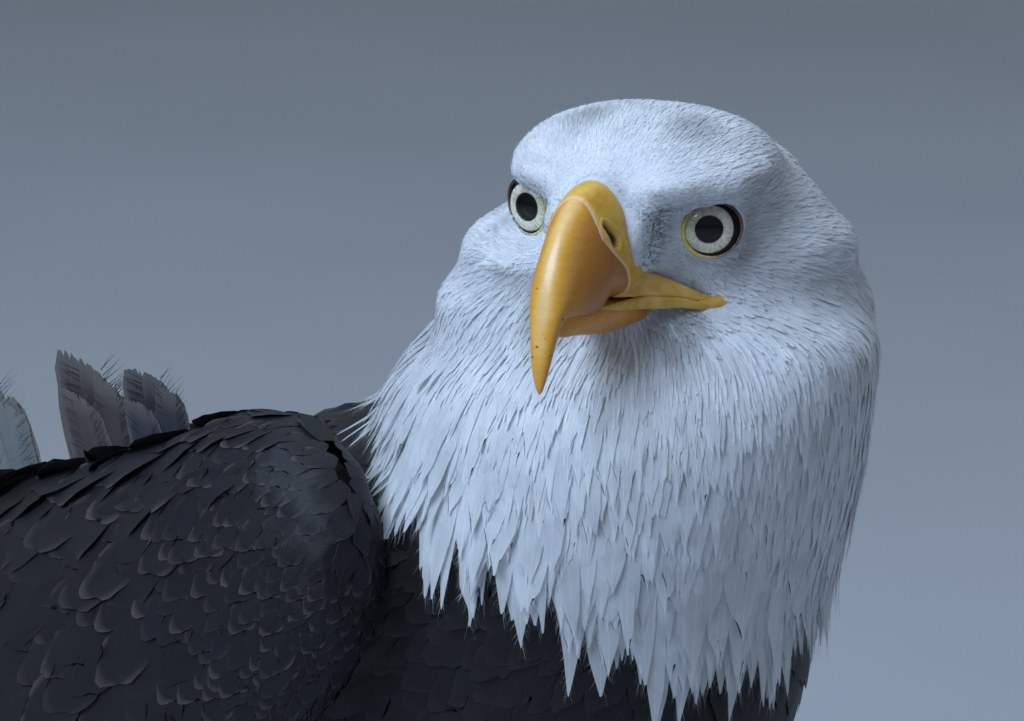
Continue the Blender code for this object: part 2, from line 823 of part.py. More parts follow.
def build():
    clear_scene()
    whole = whole_body()
    body = thinned_copy(whole, "body", BODY_TRIANGLES, feathers_brown())
    head, neck, trunk = make_head(whole), make_neck(body), make_trunk(body)
    bpy.data.objects.remove(whole)
    eyes = [make_eye(side) for side in ("left", "right")]
    cere, lower, upper = make_cere(), make_lower_bill(), make_upper_bill()
    cut_with(lower, cere, upper)
    keep_largest(lower)
    for side in ("left", "right"):
        open_lids(head, side)
    cut_with(head, *eyes, cere, lower)
    shade(keep_largest(head))
    tail = make_tail(body)
    shade(neck)
    shade(trunk)
    wings = {side: make_wing(side, body, tail) for side in ("left", "right")}
    for side in ("left", "right"):
        thigh = make_thigh(side, body, wings[side])
        tarsus = make_tarsus(side, thigh)
        middle_toe = make_toe(side, "middle", [tarsus])
        for name in ("inner", "outer"):
            make_toe(side, name, [tarsus, middle_toe])
        make_toe(side, "hind", [tarsus])
    for name in RAISED_FEATHERS:
        make_raised_feather(name, [body, *wings["left"], *wings["right"]])
    bpy.data.objects.remove(body)
    stand_on_origin()


build()
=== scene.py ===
"""Adult bald eagle, life size, dressed over its solids: skin, feathers, bill, eyes and feet."""

import itertools
import math

import bmesh
import bpy
import numpy as np
from mathutils import Matrix, Vector
from mathutils.bvhtree import BVHTree


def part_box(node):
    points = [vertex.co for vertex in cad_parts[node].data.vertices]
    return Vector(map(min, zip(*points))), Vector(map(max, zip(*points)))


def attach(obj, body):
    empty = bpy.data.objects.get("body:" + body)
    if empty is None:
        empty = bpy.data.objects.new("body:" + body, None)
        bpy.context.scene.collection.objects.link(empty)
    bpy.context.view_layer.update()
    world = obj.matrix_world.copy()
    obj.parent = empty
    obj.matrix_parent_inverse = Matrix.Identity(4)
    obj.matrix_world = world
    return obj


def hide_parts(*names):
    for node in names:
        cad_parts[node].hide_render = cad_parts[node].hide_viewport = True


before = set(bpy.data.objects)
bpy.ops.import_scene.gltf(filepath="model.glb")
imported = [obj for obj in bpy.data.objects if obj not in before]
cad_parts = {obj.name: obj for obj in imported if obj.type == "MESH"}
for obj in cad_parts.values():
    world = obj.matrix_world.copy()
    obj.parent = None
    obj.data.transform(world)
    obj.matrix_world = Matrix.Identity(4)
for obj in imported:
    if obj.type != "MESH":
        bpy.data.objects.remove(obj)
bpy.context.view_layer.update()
MM = 0.001
SIDES = {"left": 1, "right": -1}

# ---------------------------------------------------------------- where things are

HEAD_TURN = 74.0  # degrees to the bird's right
HEAD_PITCH = 2.4  # degrees, bill down
EYE_RADIUS = 12.0
EYE_LOOKS_OUT = {"left": 30.0, "right": 20.0}  # degrees from straight ahead
EYE_FRONTS = {"left": (3.9, 30.1, -2.6), "right": (3.9, -32.0, -1.1)}  # front of each eyeball, head points
EYES_MIDDLE = (170.0, -34.0, 462.0)  # body point: forward, left, up
COLLAR = ((115.0, 350.0), (0.451, 0.892))  # plane where the white ends: forward and up, and its normal

BODY_AXES = np.array(((0, -1, 0), (1, 0, 0), (0, 0, 1)), float)  # forward, left, up


def head_axes():
    turn, nod = math.radians(HEAD_TURN), math.radians(HEAD_PITCH)
    about_z = np.array(((math.cos(turn), math.sin(turn), 0), (-math.sin(turn), math.cos(turn), 0), (0, 0, 1)))
    about_y = np.array(((math.cos(nod), 0, math.sin(nod)), (0, 1, 0), (-math.sin(nod), 0, math.cos(nod))))
    return (BODY_AXES.T @ about_z @ about_y).T


def ball_middle(side):
    """Middle of an eyeball as a head point."""
    look = math.radians(EYE_LOOKS_OUT[side]) * SIDES[side]
    return np.array(EYE_FRONTS[side]) - EYE_RADIUS * np.array((math.cos(look), math.sin(look), 0))


def box_middle(node):
    low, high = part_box(node)
    return (np.array(low) + np.array(high)) / 2


HEAD_AXES = head_axes()
EYES_AT = (box_middle("eye_left") + box_middle("eye_right")) / 2
EYES_AT = EYES_AT - (ball_middle("left") + ball_middle("right")) / 2 @ HEAD_AXES * MM


def head_to_world(points):
    return EYES_AT + np.asarray(points, float) @ HEAD_AXES * MM


def world_to_head(points):
    return (np.asarray(points) - EYES_AT) @ HEAD_AXES.T / MM


def body_to_world(points):
    return EYES_AT + (np.asarray(points, float) - EYES_MIDDLE) @ BODY_AXES * MM


def world_to_body(points):
    return (np.asarray(points) - EYES_AT) @ BODY_AXES.T / MM + EYES_MIDDLE


def above_collar(points):
    """Height over the edge of the white, in millimetres."""
    body = world_to_body(points)
    (forward, up), (nf, nu) = COLLAR
    return (body[..., 0] - forward) * nf + (body[..., 2] - up) * nu


def smoothstep(low, high, value):
    t = np.clip((value - low) / (high - low), 0, 1)
    return t * t * (3 - 2 * t)


def unit(vectors):
    return vectors / np.maximum(np.linalg.norm(vectors, axis=-1, keepdims=True), 1e-9)


# ---------------------------------------------------------------- materials


def linear(code):
    parts = [int(code[i : i + 2], 16) / 255 for i in (1, 3, 5)]
    return tuple(p / 12.92 if p <= 0.04045 else ((p + 0.055) / 1.055) ** 2.4 for p in parts)


def rgba(code):
    return (*linear(code), 1.0)


def new_material(name, **settings):
    made = bpy.data.materials.new(name)
    made.use_nodes = True
    shader = made.node_tree.nodes["Principled BSDF"]
    for socket, value in settings.items():
        shader.inputs[socket.replace("_", " ")].default_value = value
    return made, made.node_tree, shader


def node(tree, kind, inputs=None, **settings):
    """Adds a node, sets its properties, and fills or links its inputs."""
    made = tree.nodes.new(kind)
    for key, value in settings.items():
        setattr(made, key, value)
    for key, value in (inputs or {}).items():
        if isinstance(value, bpy.types.NodeSocket):
            tree.links.new(value, made.inputs[key])
        else:
            made.inputs[key].default_value = value
    return made


def attribute(tree, name, output="Fac"):
    return node(tree, "ShaderNodeAttribute", attribute_name=name).outputs[output]


def object_coords(tree):
    return node(tree, "ShaderNodeTexCoord").outputs["Object"]


def noise(tree, scale_mm, detail=3.0, vector=None):
    """Noise whose features are about that many millimetres across."""
    place = vector or object_coords(tree)
    made = node(tree, "ShaderNodeTexNoise", {"Vector": place, "Scale": 1 / (scale_mm * MM), "Detail": detail})
    made.inputs["Roughness"].default_value = 0.55
    return made.outputs["Fac"]


def ramp(tree, value, stops):
    made = node(tree, "ShaderNodeValToRGB", {"Fac": value})
    elements = made.color_ramp.elements
    while len(elements) < len(stops):
        elements.new(0.5)
    for element, (place, colour) in zip(elements, stops):
        element.position = place
        element.color = rgba(colour) if isinstance(colour, str) else (colour, colour, colour, 1.0)
    return made.outputs["Color"]


def mix(tree, factor, a, b, blend="MIX"):
    made = node(tree, "ShaderNodeMix", data_type="RGBA", blend_type=blend)
    for socket, value in ((made.inputs["Factor"], factor), (made.inputs[6], a), (made.inputs[7], b)):
        if isinstance(value, bpy.types.NodeSocket):
            tree.links.new(value, socket)
        elif isinstance(value, str):
            socket.default_value = rgba(value)
        else:
            socket.default_value = value
    return made.outputs[2]


def math_node(tree, operation, a, b=0.0):
    return node(tree, "ShaderNodeMath", {0: a, 1: b}, operation=operation).outputs[0]


def bump(tree, shader, height, distance_mm, strength=1.0):
    depth = distance_mm * MM
    made = node(tree, "ShaderNodeBump", {"Height": height, "Strength": strength, "Distance": depth})
    tree.links.new(made.outputs[0], shader.inputs["Normal"])


def blend(tree, factor, first, second):
    """Gives the material its surface: the first shader, and by this factor the second."""
    both = node(tree, "ShaderNodeMixShader", {0: factor, 1: first.outputs[0], 2: second.outputs[0]})
    tree.links.new(both.outputs[0], tree.nodes["Material Output"].inputs["Surface"])


BARB_SLANT = 0.42
SHAFT_HALF_WIDTH = 0.22  # millimetres


def feather_material(name, roughness, sheen, shine, barb_mm, barb_depth, streak, light_through):
    """Vanes: their tint, a shaft, fine slanting barbs and a soft sheen."""
    made, tree, shader = new_material(
        name, Roughness=roughness, Sheen_Weight=sheen, Sheen_Roughness=0.5, Specular_IOR_Level=shine
    )
    tint = attribute(tree, "tint", "Color")
    place = node(tree, "ShaderNodeUVMap", uv_map="vane").outputs["UV"]
    parts = node(tree, "ShaderNodeSeparateXYZ", {0: place})
    beside = math_node(tree, "ABSOLUTE", parts.outputs["X"])
    slant = math_node(tree, "SUBTRACT", beside, math_node(tree, "MULTIPLY", parts.outputs["Y"], BARB_SLANT))
    uneven = node(tree, "ShaderNodeTexNoise", {"Vector": place, "Scale": 0.35, "Detail": 2.0}).outputs["Fac"]
    lines = math_node(tree, "MULTIPLY", math_node(tree, "ADD", slant, uneven), 2 * math.pi / barb_mm)
    barbs = math_node(tree, "SINE", lines)
    shaft = math_node(tree, "LESS_THAN", beside, SHAFT_HALF_WIDTH)
    paler = math_node(tree, "MULTIPLY_ADD", barbs, streak)
    tree.nodes[-1].inputs[2].default_value = 1.0
    grey = node(tree, "ShaderNodeCombineColor", {0: paler, 1: paler, 2: paler}).outputs[0]
    streaked = mix(tree, 1.0, tint, grey, "MULTIPLY")
    blotch = ramp(tree, noise(tree, 9.0, 2.0), ((0.3, 0.88), (0.7, 1.0)))
    coloured = mix(tree, 1.0, streaked, blotch, "MULTIPLY")
    paler_shaft = mix(tree, 1.0, coloured, (1.5, 1.4, 1.3, 1), "MULTIPLY")
    shafted = mix(tree, math_node(tree, "MULTIPLY", shaft, 0.25), coloured, paler_shaft)
    tree.links.new(shafted, shader.inputs["Base Color"])
    bump(tree, shader, math_node(tree, "ADD", barbs, math_node(tree, "MULTIPLY", shaft, 2.0)), barb_depth)
    if light_through:
        through = node(tree, "ShaderNodeBsdfTranslucent", {"Color": shafted})
        blend(tree, light_through, shader, through)
    return made


# ---------------------------------------------------------------- objects and meshes


def deselect():
    bpy.ops.object.select_all(action="DESELECT")


def active(obj):
    deselect()
    obj.select_set(True)
    bpy.context.view_layer.objects.active = obj
    return obj


def apply_all(obj):
    active(obj)
    for modifier in list(obj.modifiers):
        bpy.ops.object.modifier_apply(modifier=modifier.name)
    return obj


def new_object(name, mesh, look=None):
    obj = bpy.data.objects.new(name, mesh)
    bpy.context.scene.collection.objects.link(obj)
    if look:
        mesh.materials.clear()
        mesh.materials.append(look)
    return obj


def mesh_from_arrays(name, points, faces, smooth=True):
    """A mesh from (n, 3) points and (m, 3 or 4) faces."""
    mesh = bpy.data.meshes.new(name)
    corners = faces.shape[1]
    mesh.vertices.add(len(points))
    mesh.vertices.foreach_set("co", np.ascontiguousarray(points, np.float32).ravel())
    mesh.loops.add(faces.size)
    mesh.loops.foreach_set("vertex_index", np.ascontiguousarray(faces, np.int32).ravel())
    mesh.polygons.add(len(faces))
    mesh.polygons.foreach_set("loop_start", np.arange(0, faces.size, corners, dtype=np.int32))
    mesh.update(calc_edges=True)
    mesh.polygons.foreach_set("use_smooth", np.full(len(faces), smooth))
    return mesh


def points_of(mesh):
    points = np.empty(len(mesh.vertices) * 3, np.float32)
    mesh.vertices.foreach_get("co", points)
    return points.reshape(-1, 3).astype(float)


def normals_of(mesh):
    normals = np.empty(len(mesh.vertices) * 3, np.float32)
    mesh.vertices.foreach_get("normal", normals)
    return normals.reshape(-1, 3).astype(float)


def set_points(mesh, points):
    mesh.vertices.foreach_set("co", np.ascontiguousarray(points, np.float32).ravel())
    mesh.update()


def triangles_of(mesh):
    mesh.calc_loop_triangles()
    found = np.empty(len(mesh.loop_triangles) * 3, np.int32)
    mesh.loop_triangles.foreach_get("vertices", found)
    return found.reshape(-1, 3)


def solid_copy(node_name, grow_mm):
    """A merged copy of a CAD node, grown a little so that it meets its neighbours."""
    obj = new_object("copy_" + node_name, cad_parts[node_name].data.copy())
    shape = bmesh.new()
    shape.from_mesh(obj.data)
    bmesh.ops.remove_doubles(shape, verts=shape.verts, dist=1e-6)
    shape.to_mesh(obj.data)
    shape.free()
    grow = obj.modifiers.new("grow", "DISPLACE")
    grow.strength = grow_mm * MM
    grow.mid_level = 0.0
    return apply_all(obj)


def joined(name, objects):
    active(objects[0])
    for obj in objects:
        obj.select_set(True)
    bpy.ops.object.join()
    objects[0].name = name
    objects[0].data.name = name
    return objects[0]


def smoothed(obj, rounds):
    even = obj.modifiers.new("even", "SMOOTH")
    even.factor = 0.5
    even.iterations = rounds
    return apply_all(obj)


def fused(name, objects, voxel_mm, rounding):
    """Several forms made one skin, with its edges rounded."""
    obj = joined(name, objects)
    skin = obj.modifiers.new("skin", "REMESH")
    skin.mode = "VOXEL"
    skin.voxel_size = voxel_mm * MM
    return smoothed(obj, rounding)


def spline(table, positions):
    """Smooth values between the evenly spaced rows of a table, at positions from 0 to 1."""
    rows = np.asarray(table, float)
    place = np.clip(np.asarray(positions, float), 0, 1) * (len(rows) - 1)
    here = np.minimum(place.astype(int), len(rows) - 2)
    t = (place - here)[..., None]
    a, b = rows[np.maximum(here - 1, 0)], rows[here]
    c, d = rows[here + 1], rows[np.minimum(here + 2, len(rows) - 1)]
    return b + t * ((c - a) / 2 + t * ((2 * a - 5 * b + 4 * c - d) / 2 + t * (3 * b - a - 3 * c + d) / 2))


def rolled(name, around, along, place, look):
    """A grid rolled up into a closed form. place(turn, share) gives world points."""
    deselect()
    bpy.ops.mesh.primitive_grid_add(x_subdivisions=around, y_subdivisions=along, size=2)
    obj = bpy.context.object
    obj.name = obj.data.name = name
    flat = points_of(obj.data)
    turn, share = (flat[:, 0] + 1) * math.pi, (flat[:, 1] + 1) / 2
    set_points(obj.data, place(turn, share))
    paint(obj, "turn", turn)
    paint(obj, "share", share)
    bpy.ops.object.mode_set(mode="EDIT")
    bpy.ops.mesh.select_all(action="SELECT")
    bpy.ops.mesh.remove_doubles(threshold=2e-6)
    bpy.ops.mesh.normals_make_consistent(inside=False)
    bpy.ops.object.mode_set(mode="OBJECT")
    obj.data.materials.append(look)
    obj.data.shade_smooth()
    return obj


def strip_tube(name, line, sizes, around, along, look, side=(0, 0, 1), to_world=None, squareness=2.0):
    """A tube along a line of points. sizes: half thickness sideways, half height, for each row."""
    line, sizes = np.asarray(line, float), np.asarray(sizes, float)

    def place(turn, share):
        centre = spline(line, share)
        ahead = unit(spline(line, np.minimum(share + 0.01, 1)) - spline(line, np.maximum(share - 0.01, 0)))
        over = unit(np.asarray(side, float) - ahead * (ahead @ np.asarray(side, float))[:, None])
        out = np.cross(ahead, over)
        size = spline(sizes, share)
        power = 2 / squareness
        c, s = np.cos(turn), np.sin(turn)
        across = np.sign(s) * np.abs(s) ** power * size[:, 0]
        rise = np.sign(c) * np.abs(c) ** power * size[:, 1]
        return to_world(centre + out * across[:, None] + over * rise[:, None])

    return rolled(name, around, along, place, look)


def paint(obj, name, values):
    """Stores one number per point for the material to read."""
    layer = obj.data.attributes.new(name, "FLOAT", "POINT")
    layer.data.foreach_set("value", np.ascontiguousarray(values, np.float32))


def painted(obj, name):
    values = np.empty(len(obj.data.vertices), np.float32)
    obj.data.attributes[name].data.foreach_get("value", values)
    return values.astype(float)


def finish(obj, slot, *nodes):
    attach(obj, "root")
    if nodes:
        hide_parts(*nodes)
    return obj


def tree_of(points, triangles):
    return BVHTree.FromPolygons([tuple(p) for p in points], [tuple(t) for t in triangles])


def surface_tree(obj):
    return tree_of(points_of(obj.data), triangles_of(obj.data))


# ---------------------------------------------------------------- skin

WING_PARTS = ("shoulder", "secondaries", "primaries")
SKIN_VOXEL = 2.3  # millimetres


def coat_depth(points):
    """How far the skin lies under the outline of the feathers, in millimetres."""
    head = world_to_head(points)
    body = world_to_body(points)
    neckward = smoothstep(8, -42, head[:, 2]) * smoothstep(25, -25, head[:, 0])
    depth = 1.6 + 2.6 * neckward
    trunk = smoothstep(20, -30, above_collar(points))
    depth = depth * (1 - trunk) + 4.5 * trunk
    rear = smoothstep(-120, -190, body[:, 0])
    return depth * (1 - rear) + 1.0 * rear


# The nodes of flesh that one skin replaces, by part of the body
FLESH = {
    "head": ("head",),
    "neck": ("neck",),
    "trunk": ("trunk",),
    "legs": ("thigh_left", "thigh_right"),
    "wings": tuple(f"wing_{side}_{part}" for side in SIDES for part in WING_PARTS),
}
FLESH_NODES = [name for names in FLESH.values() for name in names]


def region(name):
    return list(FLESH).index(name)


def flesh_region(points):
    """For each point, the index in FLESH of the part of the body that it lies on."""
    distances = []
    for names in FLESH.values():
        corners, triangles, count = [], [], 0
        for name in names:
            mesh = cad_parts[name].data
            corners.append(points_of(mesh))
            triangles.append(triangles_of(mesh) + count)
            count += len(mesh.vertices)
        tree = tree_of(np.concatenate(corners), np.concatenate(triangles))
        distances.append([tree.find_nearest(Vector(p))[3] for p in points])
    return np.argmin(np.array(distances), axis=0)


def eye_distance(head):
    """Distance from the front of the nearer eye, in millimetres."""
    return np.minimum(*[np.linalg.norm(head - EYE_FRONTS[side], axis=-1) for side in SIDES])


FAR = 99.0  # millimetres, further than any distance that counts near an eye
SKIN_UNDER_LIDS = 3.5  # how far ahead of the eye's middle the skin may come inside the lids
SKIN_OVER_BALL = 12.3  # radius round the eyeball that the skin outside the lids stays clear of
BROW_HEIGHT, BROW_SLOPE = 7.4, 0.19  # where the brow begins over the eye's middle, and its rise outwards


def from_lids(head, side):
    """For head points: how far along an eye's axis, how far off it, and the lid's rim in that direction."""
    middle, axis, across, up = eye_frame(side)
    away = head - middle
    along = away @ axis
    off = np.linalg.norm(away - along[:, None] * axis, axis=1)
    round_eye = np.arctan2(away @ across * SIDES[side], away @ up) / (2 * math.pi) % 1.0
    return along, off, spline(LID, round_eye)


def past_lids(head):
    """How far points lie outside the nearer eye's lids, in millimetres."""
    gaps = []
    for side in SIDES:
        along, off, rim = from_lids(head, side)
        gaps.append(np.where(along > 0, off - rim[:, 0], FAR))
    return np.minimum(*gaps)


def fitted_to_eyes(points):
    """Draws the skin in to the rims of the lids, with the eyes deep under the brows."""
    head = world_to_head(points)
    for side in SIDES:
        middle, axis, across, up = eye_frame(side)
        along, off, rim = from_lids(head, side)
        beyond = off - rim[:, 0]
        under = np.minimum(np.sqrt(np.clip(11.0**2 - off**2, 0, None)) - 1.6, SKIN_UNDER_LIDS)
        around = np.sqrt(np.clip(SKIN_OVER_BALL**2 - off**2, 0, None)) + 0.35
        inside = beyond < -0.45
        highest = np.maximum(rim[:, 1] + 0.1 + np.maximum(beyond, 0), around + 0.1)
        highest = np.where(inside, under, highest)
        lowest = np.where(inside, -FAR, around)
        away = head - middle
        over_brow = away @ up - BROW_HEIGHT - BROW_SLOPE * (away @ across) * SIDES[side]
        brow = smoothstep(-0.9, 0.9, over_brow)
        wanted = np.minimum(along, along * brow + highest * (1 - brow))
        wanted = np.maximum(wanted, lowest)
        near = (along > 0.5) & (beyond < 5)
        head = head + axis * np.where(near, wanted - along, 0)[:, None]
    return head_to_world(head)


def ball(name, middle, sizes):
    """An ellipsoid along the head's own axes."""

    def place(turn, share):
        polar = math.pi * share
        flat = np.sin(polar)
        way = np.stack((np.cos(polar), flat * np.sin(turn), flat * np.cos(turn)), axis=1)
        return head_to_world(np.array(middle) + way * sizes)

    return rolled(name, 32, 24, place, None)


# The lower edge of a brow, from beside the cere to behind the eye, as head points
BROW = (
    (20.5, 13.0, 2.6), (15.5, 19.5, 4.0), (10.5, 28.5, 6.0),
    (4.5, 35.5, 7.2), (-5.0, 39.5, 7.0), (-15.0, 41.0, 6.6),
)
BROW_MIDDLE = (-2.2, -1.6, 2.6)  # of the ridge, from its lower edge
# Half thickness and half height of the ridge along it
BROW_SIZES = ((2.0, 2.0), (3.0, 2.8), (3.4, 3.2), (3.6, 3.4), (3.0, 3.0), (1.0, 1.4))


def brow_ridge(sign):
    line = (np.array(BROW) + BROW_MIDDLE) * (1, sign, 1)
    return strip_tube("brow", line, BROW_SIZES, 16, 40, None, (0, 0, 1), head_to_world)


CUFF_FROM, CUFF_LENGTH = 0.03, 0.165  # shares of the upper bill


def face_cuff():
    """The feathered skin that runs forward over the rear of the cere."""

    def place(turn, share):
        run = np.minimum(share / 0.85, 1.0)
        along = CUFF_FROM + CUFF_LENGTH * run
        ring, heart = bill_surface(UPPER_BILL, turn, along), bill_heart(along)
        covered = smoothstep(-15.0, -11.5, ring[:, 2])
        grown = ring + unit(ring - heart) * (2.6 * covered - 2.5 * (1 - covered))[:, None]
        closing = np.clip((share - 0.85) / 0.15, 0, 1)[:, None]
        opening = np.clip(share / 0.05, 0, 1)[:, None]
        return head_to_world(heart + (grown - heart) * (1 - closing) * opening)

    return rolled("face_cuff", 48, 30, place, None)


def finer_near_eyes(obj):
    """Divides the faces near the eyes, where the skin meets the lids."""
    head = world_to_head(points_of(obj.data))
    close = eye_distance(head) < 17
    shape = bmesh.new()
    shape.from_mesh(obj.data)
    shape.verts.ensure_lookup_table()
    edges = [e for e in shape.edges if close[e.verts[0].index] and close[e.verts[1].index]]
    bmesh.ops.subdivide_edges(shape, edges=edges, cuts=2, use_grid_fill=True)
    shape.to_mesh(obj.data)
    shape.free()


SOCKET_RADIUS = 13.4
# Forms that fill out the head: middle and half sizes, as head points
FULLER = {
    "left lore": ((18.0, 12.3, -1.0), (6.6, 5.4, 9.0)),
    "right lore": ((18.0, -12.8, -1.0), (6.6, 6.6, 9.0)),
    "chin": ((5.0, 0.0, -27.0), (9.5, 13.5, 6.0)),
    "nape": ((-58.0, 14.0, -12.0), (24.4, 24.4, 24.4)),
}
MEET = 0.4  # millimetres that each part grows by to meet the next
WING_COAT, FACE_COAT = 4.6, 0.9  # depth of the skin under the feathers there
PLAIN_SKIN_BELOW, PLAIN_SKIN_KEEPS = -38, 0.68


def make_skin():
    """The one skin, and for each of its points the part of the body that it lies on."""
    parts = [solid_copy(name, MEET) for name in FLESH_NODES]
    for side, sign in SIDES.items():
        parts += [brow_ridge(sign), ball("socket", ball_middle(side), (SOCKET_RADIUS,) * 3)]
    parts += [ball(name, *form) for name, form in FULLER.items()]
    skin = fused("skin", parts + [face_cuff()], SKIN_VOXEL, 5)
    points, normals = points_of(skin.data), normals_of(skin.data)
    wings = flesh_region(points) == region("wings")
    depth = np.where(wings, WING_COAT, coat_depth(points))
    head = world_to_head(points)
    face = (head[:, 0] > 10) & (head[:, 2] > -20)
    depth = np.where(face & ~wings, FACE_COAT, depth)
    set_points(skin.data, dipped(points - normals * depth[:, None] * MM))
    smoothed(skin, 3)
    # The face keeps all its faces; the plain skin under the body's feathers needs fewer
    below = skin.vertex_groups.new(name="below the head")
    low = world_to_head(points_of(skin.data))[:, 2] < PLAIN_SKIN_BELOW
    below.add(np.flatnonzero(low).tolist(), 1.0, "REPLACE")
    fewer = skin.modifiers.new("fewer faces", "DECIMATE")
    fewer.ratio = PLAIN_SKIN_KEEPS
    fewer.vertex_group = below.name
    apply_all(skin)
    skin.vertex_groups.clear()
    finer_near_eyes(skin)
    set_points(skin.data, fitted_to_eyes(points_of(skin.data)))
    skin.data.shade_smooth()
    return skin, flesh_region(points_of(skin.data))


SHOULDER_DROOP = 7.5  # millimetres


def dipped(points):
    """The left shoulder droops a little behind the neck."""
    forward, left, up = world_to_body(points).T
    there = smoothstep(-115, -70, forward) * smoothstep(70, 20, forward) * smoothstep(32, 54, left)
    drop = SHOULDER_DROOP * there * smoothstep(322, 350, up)
    return points - np.stack((0 * drop, 0 * drop, drop), axis=1) * MM


def dress_skin(skin, regions):
    """The skin's material, white on the head, neck and tail and blackish brown elsewhere."""
    look, tree, shader = new_material("feathered skin", Roughness=0.9)
    down = ramp(tree, noise(tree, 1.1, 4.0), ((0.3, 0.75), (0.7, 1.0)))
    ground = mix(tree, attribute(tree, "white"), "#141212", "#D5DAE0")
    tree.links.new(mix(tree, 1.0, ground, down, "MULTIPLY"), shader.inputs["Base Color"])
    bump(tree, shader, down, 0.3)
    skin.data.materials.clear()
    skin.data.materials.append(look)
    points = points_of(skin.data)
    tailward = smoothstep(-150, -180, world_to_body(points)[:, 0]) * (regions == region("trunk"))
    collar = smoothstep(38, 48, above_collar(points)) * (regions != region("wings"))
    paint(skin, "white", np.maximum(collar, tailward))
    finish(skin, "brown_feather", *FLESH_NODES)


def wing_surface(side):
    """The outer form of one wing, for its feathers to lie on."""
    parts = [solid_copy(f"wing_{side}_{part}", MEET) for part in WING_PARTS]
    wing = fused(f"wing_form_{side}", parts, 3.0, 6)
    points, normals = points_of(wing.data), normals_of(wing.data)
    depth = 2.6 * smoothstep(-330, -200, world_to_body(points)[:, 0])
    depth = depth * (1 - 0.9 * smoothstep(0.1, 0.6, normals[:, 2]))
    set_points(wing.data, dipped(points - normals * depth[:, None] * MM))
    return wing


# ---------------------------------------------------------------- feathers


def scatter(obj, count, seed, keep, regions=None, wanted=()):
    """Even random places on a surface: points, normals. keep(points, normals) says which stay."""
    rng = np.random.default_rng(seed)
    points, triangles, normals = points_of(obj.data), triangles_of(obj.data), normals_of(obj.data)
    corners = points[triangles]
    areas = np.linalg.norm(np.cross(corners[:, 1] - corners[:, 0], corners[:, 2] - corners[:, 0]), axis=1)
    inside = keep(corners.mean(axis=1), unit(normals[triangles].sum(axis=1)))
    if regions is not None:
        inside = inside & np.isin(regions[triangles[:, 0]], [region(name) for name in wanted])
    areas = areas * inside
    chosen = rng.choice(len(triangles), count, p=areas / areas.sum())
    a, b = rng.random(count), rng.random(count)
    over = a + b > 1
    a[over], b[over] = 1 - a[over], 1 - b[over]
    weights = np.stack((1 - a - b, a, b), axis=1)[:, :, None]
    return (corners[chosen] * weights).sum(axis=1), unit((normals[triangles[chosen]] * weights).sum(axis=1))


def thinned(points, radii):
    """Indices of points that keep their own radius, in millimetres, from those kept before them."""
    cell = float(np.max(radii)) * MM
    grid, kept = {}, []
    keys = np.floor(points / cell).astype(int)
    square = (radii * MM) ** 2
    around = list(itertools.product((-1, 0, 1), repeat=3))
    for i, (a, b, c) in enumerate(map(tuple, keys)):
        x, y, z = points[i]
        close = (
            (u - x) ** 2 + (v - y) ** 2 + (w - z) ** 2 < square[i]
            for da, db, dc in around
            for u, v, w in grid.get((a + da, b + db, c + dc), ())
        )
        if not any(close):
            grid.setdefault((a, b, c), []).append((x, y, z))
            kept.append(i)
    return np.array(kept)


def nearest(tree, points):
    found, normals = np.empty_like(points), np.empty_like(points)
    for i, point in enumerate(points):
        place, normal, _, _ = tree.find_nearest(Vector(point))
        found[i], normals[i] = place, normal
    return found, normals


def sway(points):
    """A slow wander from place to place, about -1 to 1, by which neighbouring feathers lean together."""
    a, b, c = (points * (1 / MM)).T
    slow = np.sin(a * 0.21 + 1.9 * np.sin(b * 0.11))
    quick = np.sin(b * 0.26 + c * 0.17 + 1.3 * np.sin(a * 0.13))
    return (slow + quick) / 2


def lay(tree, roots, normals, flow, lengths, lifts, steps, stray, seed, base):
    """Walks each feather over the surface along the flow. Returns (n, k, 3) places and normals."""
    rng = np.random.default_rng(seed)
    n = len(roots)
    ways = tangent(flow(roots), normals)
    across = np.cross(normals, ways)
    ways = unit(ways + across * (rng.normal(0, 1, (n, 1)) + 1.2 * sway(roots)[:, None]) * stray)
    paths, ups = [roots + normals * (base * MM)], [normals]
    place, normal = roots, normals
    shares = np.linspace(0, 1, steps)
    for share, before in zip(shares[1:], shares):
        stride = (lengths * (share - before) * MM)[:, None]
        straight = place + ways * stride
        ground, up = nearest(tree, straight)
        far = np.linalg.norm(ground - straight, axis=1) > 0.55 * stride[:, 0]
        loose = far | ((up * normal).sum(axis=1) < 0.35)
        ground[loose], up[loose] = straight[loose], normal[loose]
        up = unit(up + normal)
        turn = tangent(flow(ground), up)
        ways = unit(tangent(ways * 1.6 + turn, up))
        height = (base + lifts * share**0.9) * MM
        paths.append(ground + up * height[:, None])
        ups.append(up)
        place, normal = ground, up
    return np.stack(paths, axis=1), np.stack(ups, axis=1)


def tangent(vectors, normals):
    return unit(vectors - normals * (vectors * normals).sum(axis=-1, keepdims=True))


def along_and_side(paths, ups):
    """The direction of each feather at each of its places, and the direction across it."""
    along = unit(np.gradient(paths, axis=1))
    return along, unit(np.cross(ups, along))


def path_lengths(paths):
    return np.linalg.norm(np.diff(paths, axis=1), axis=2).sum(axis=1)


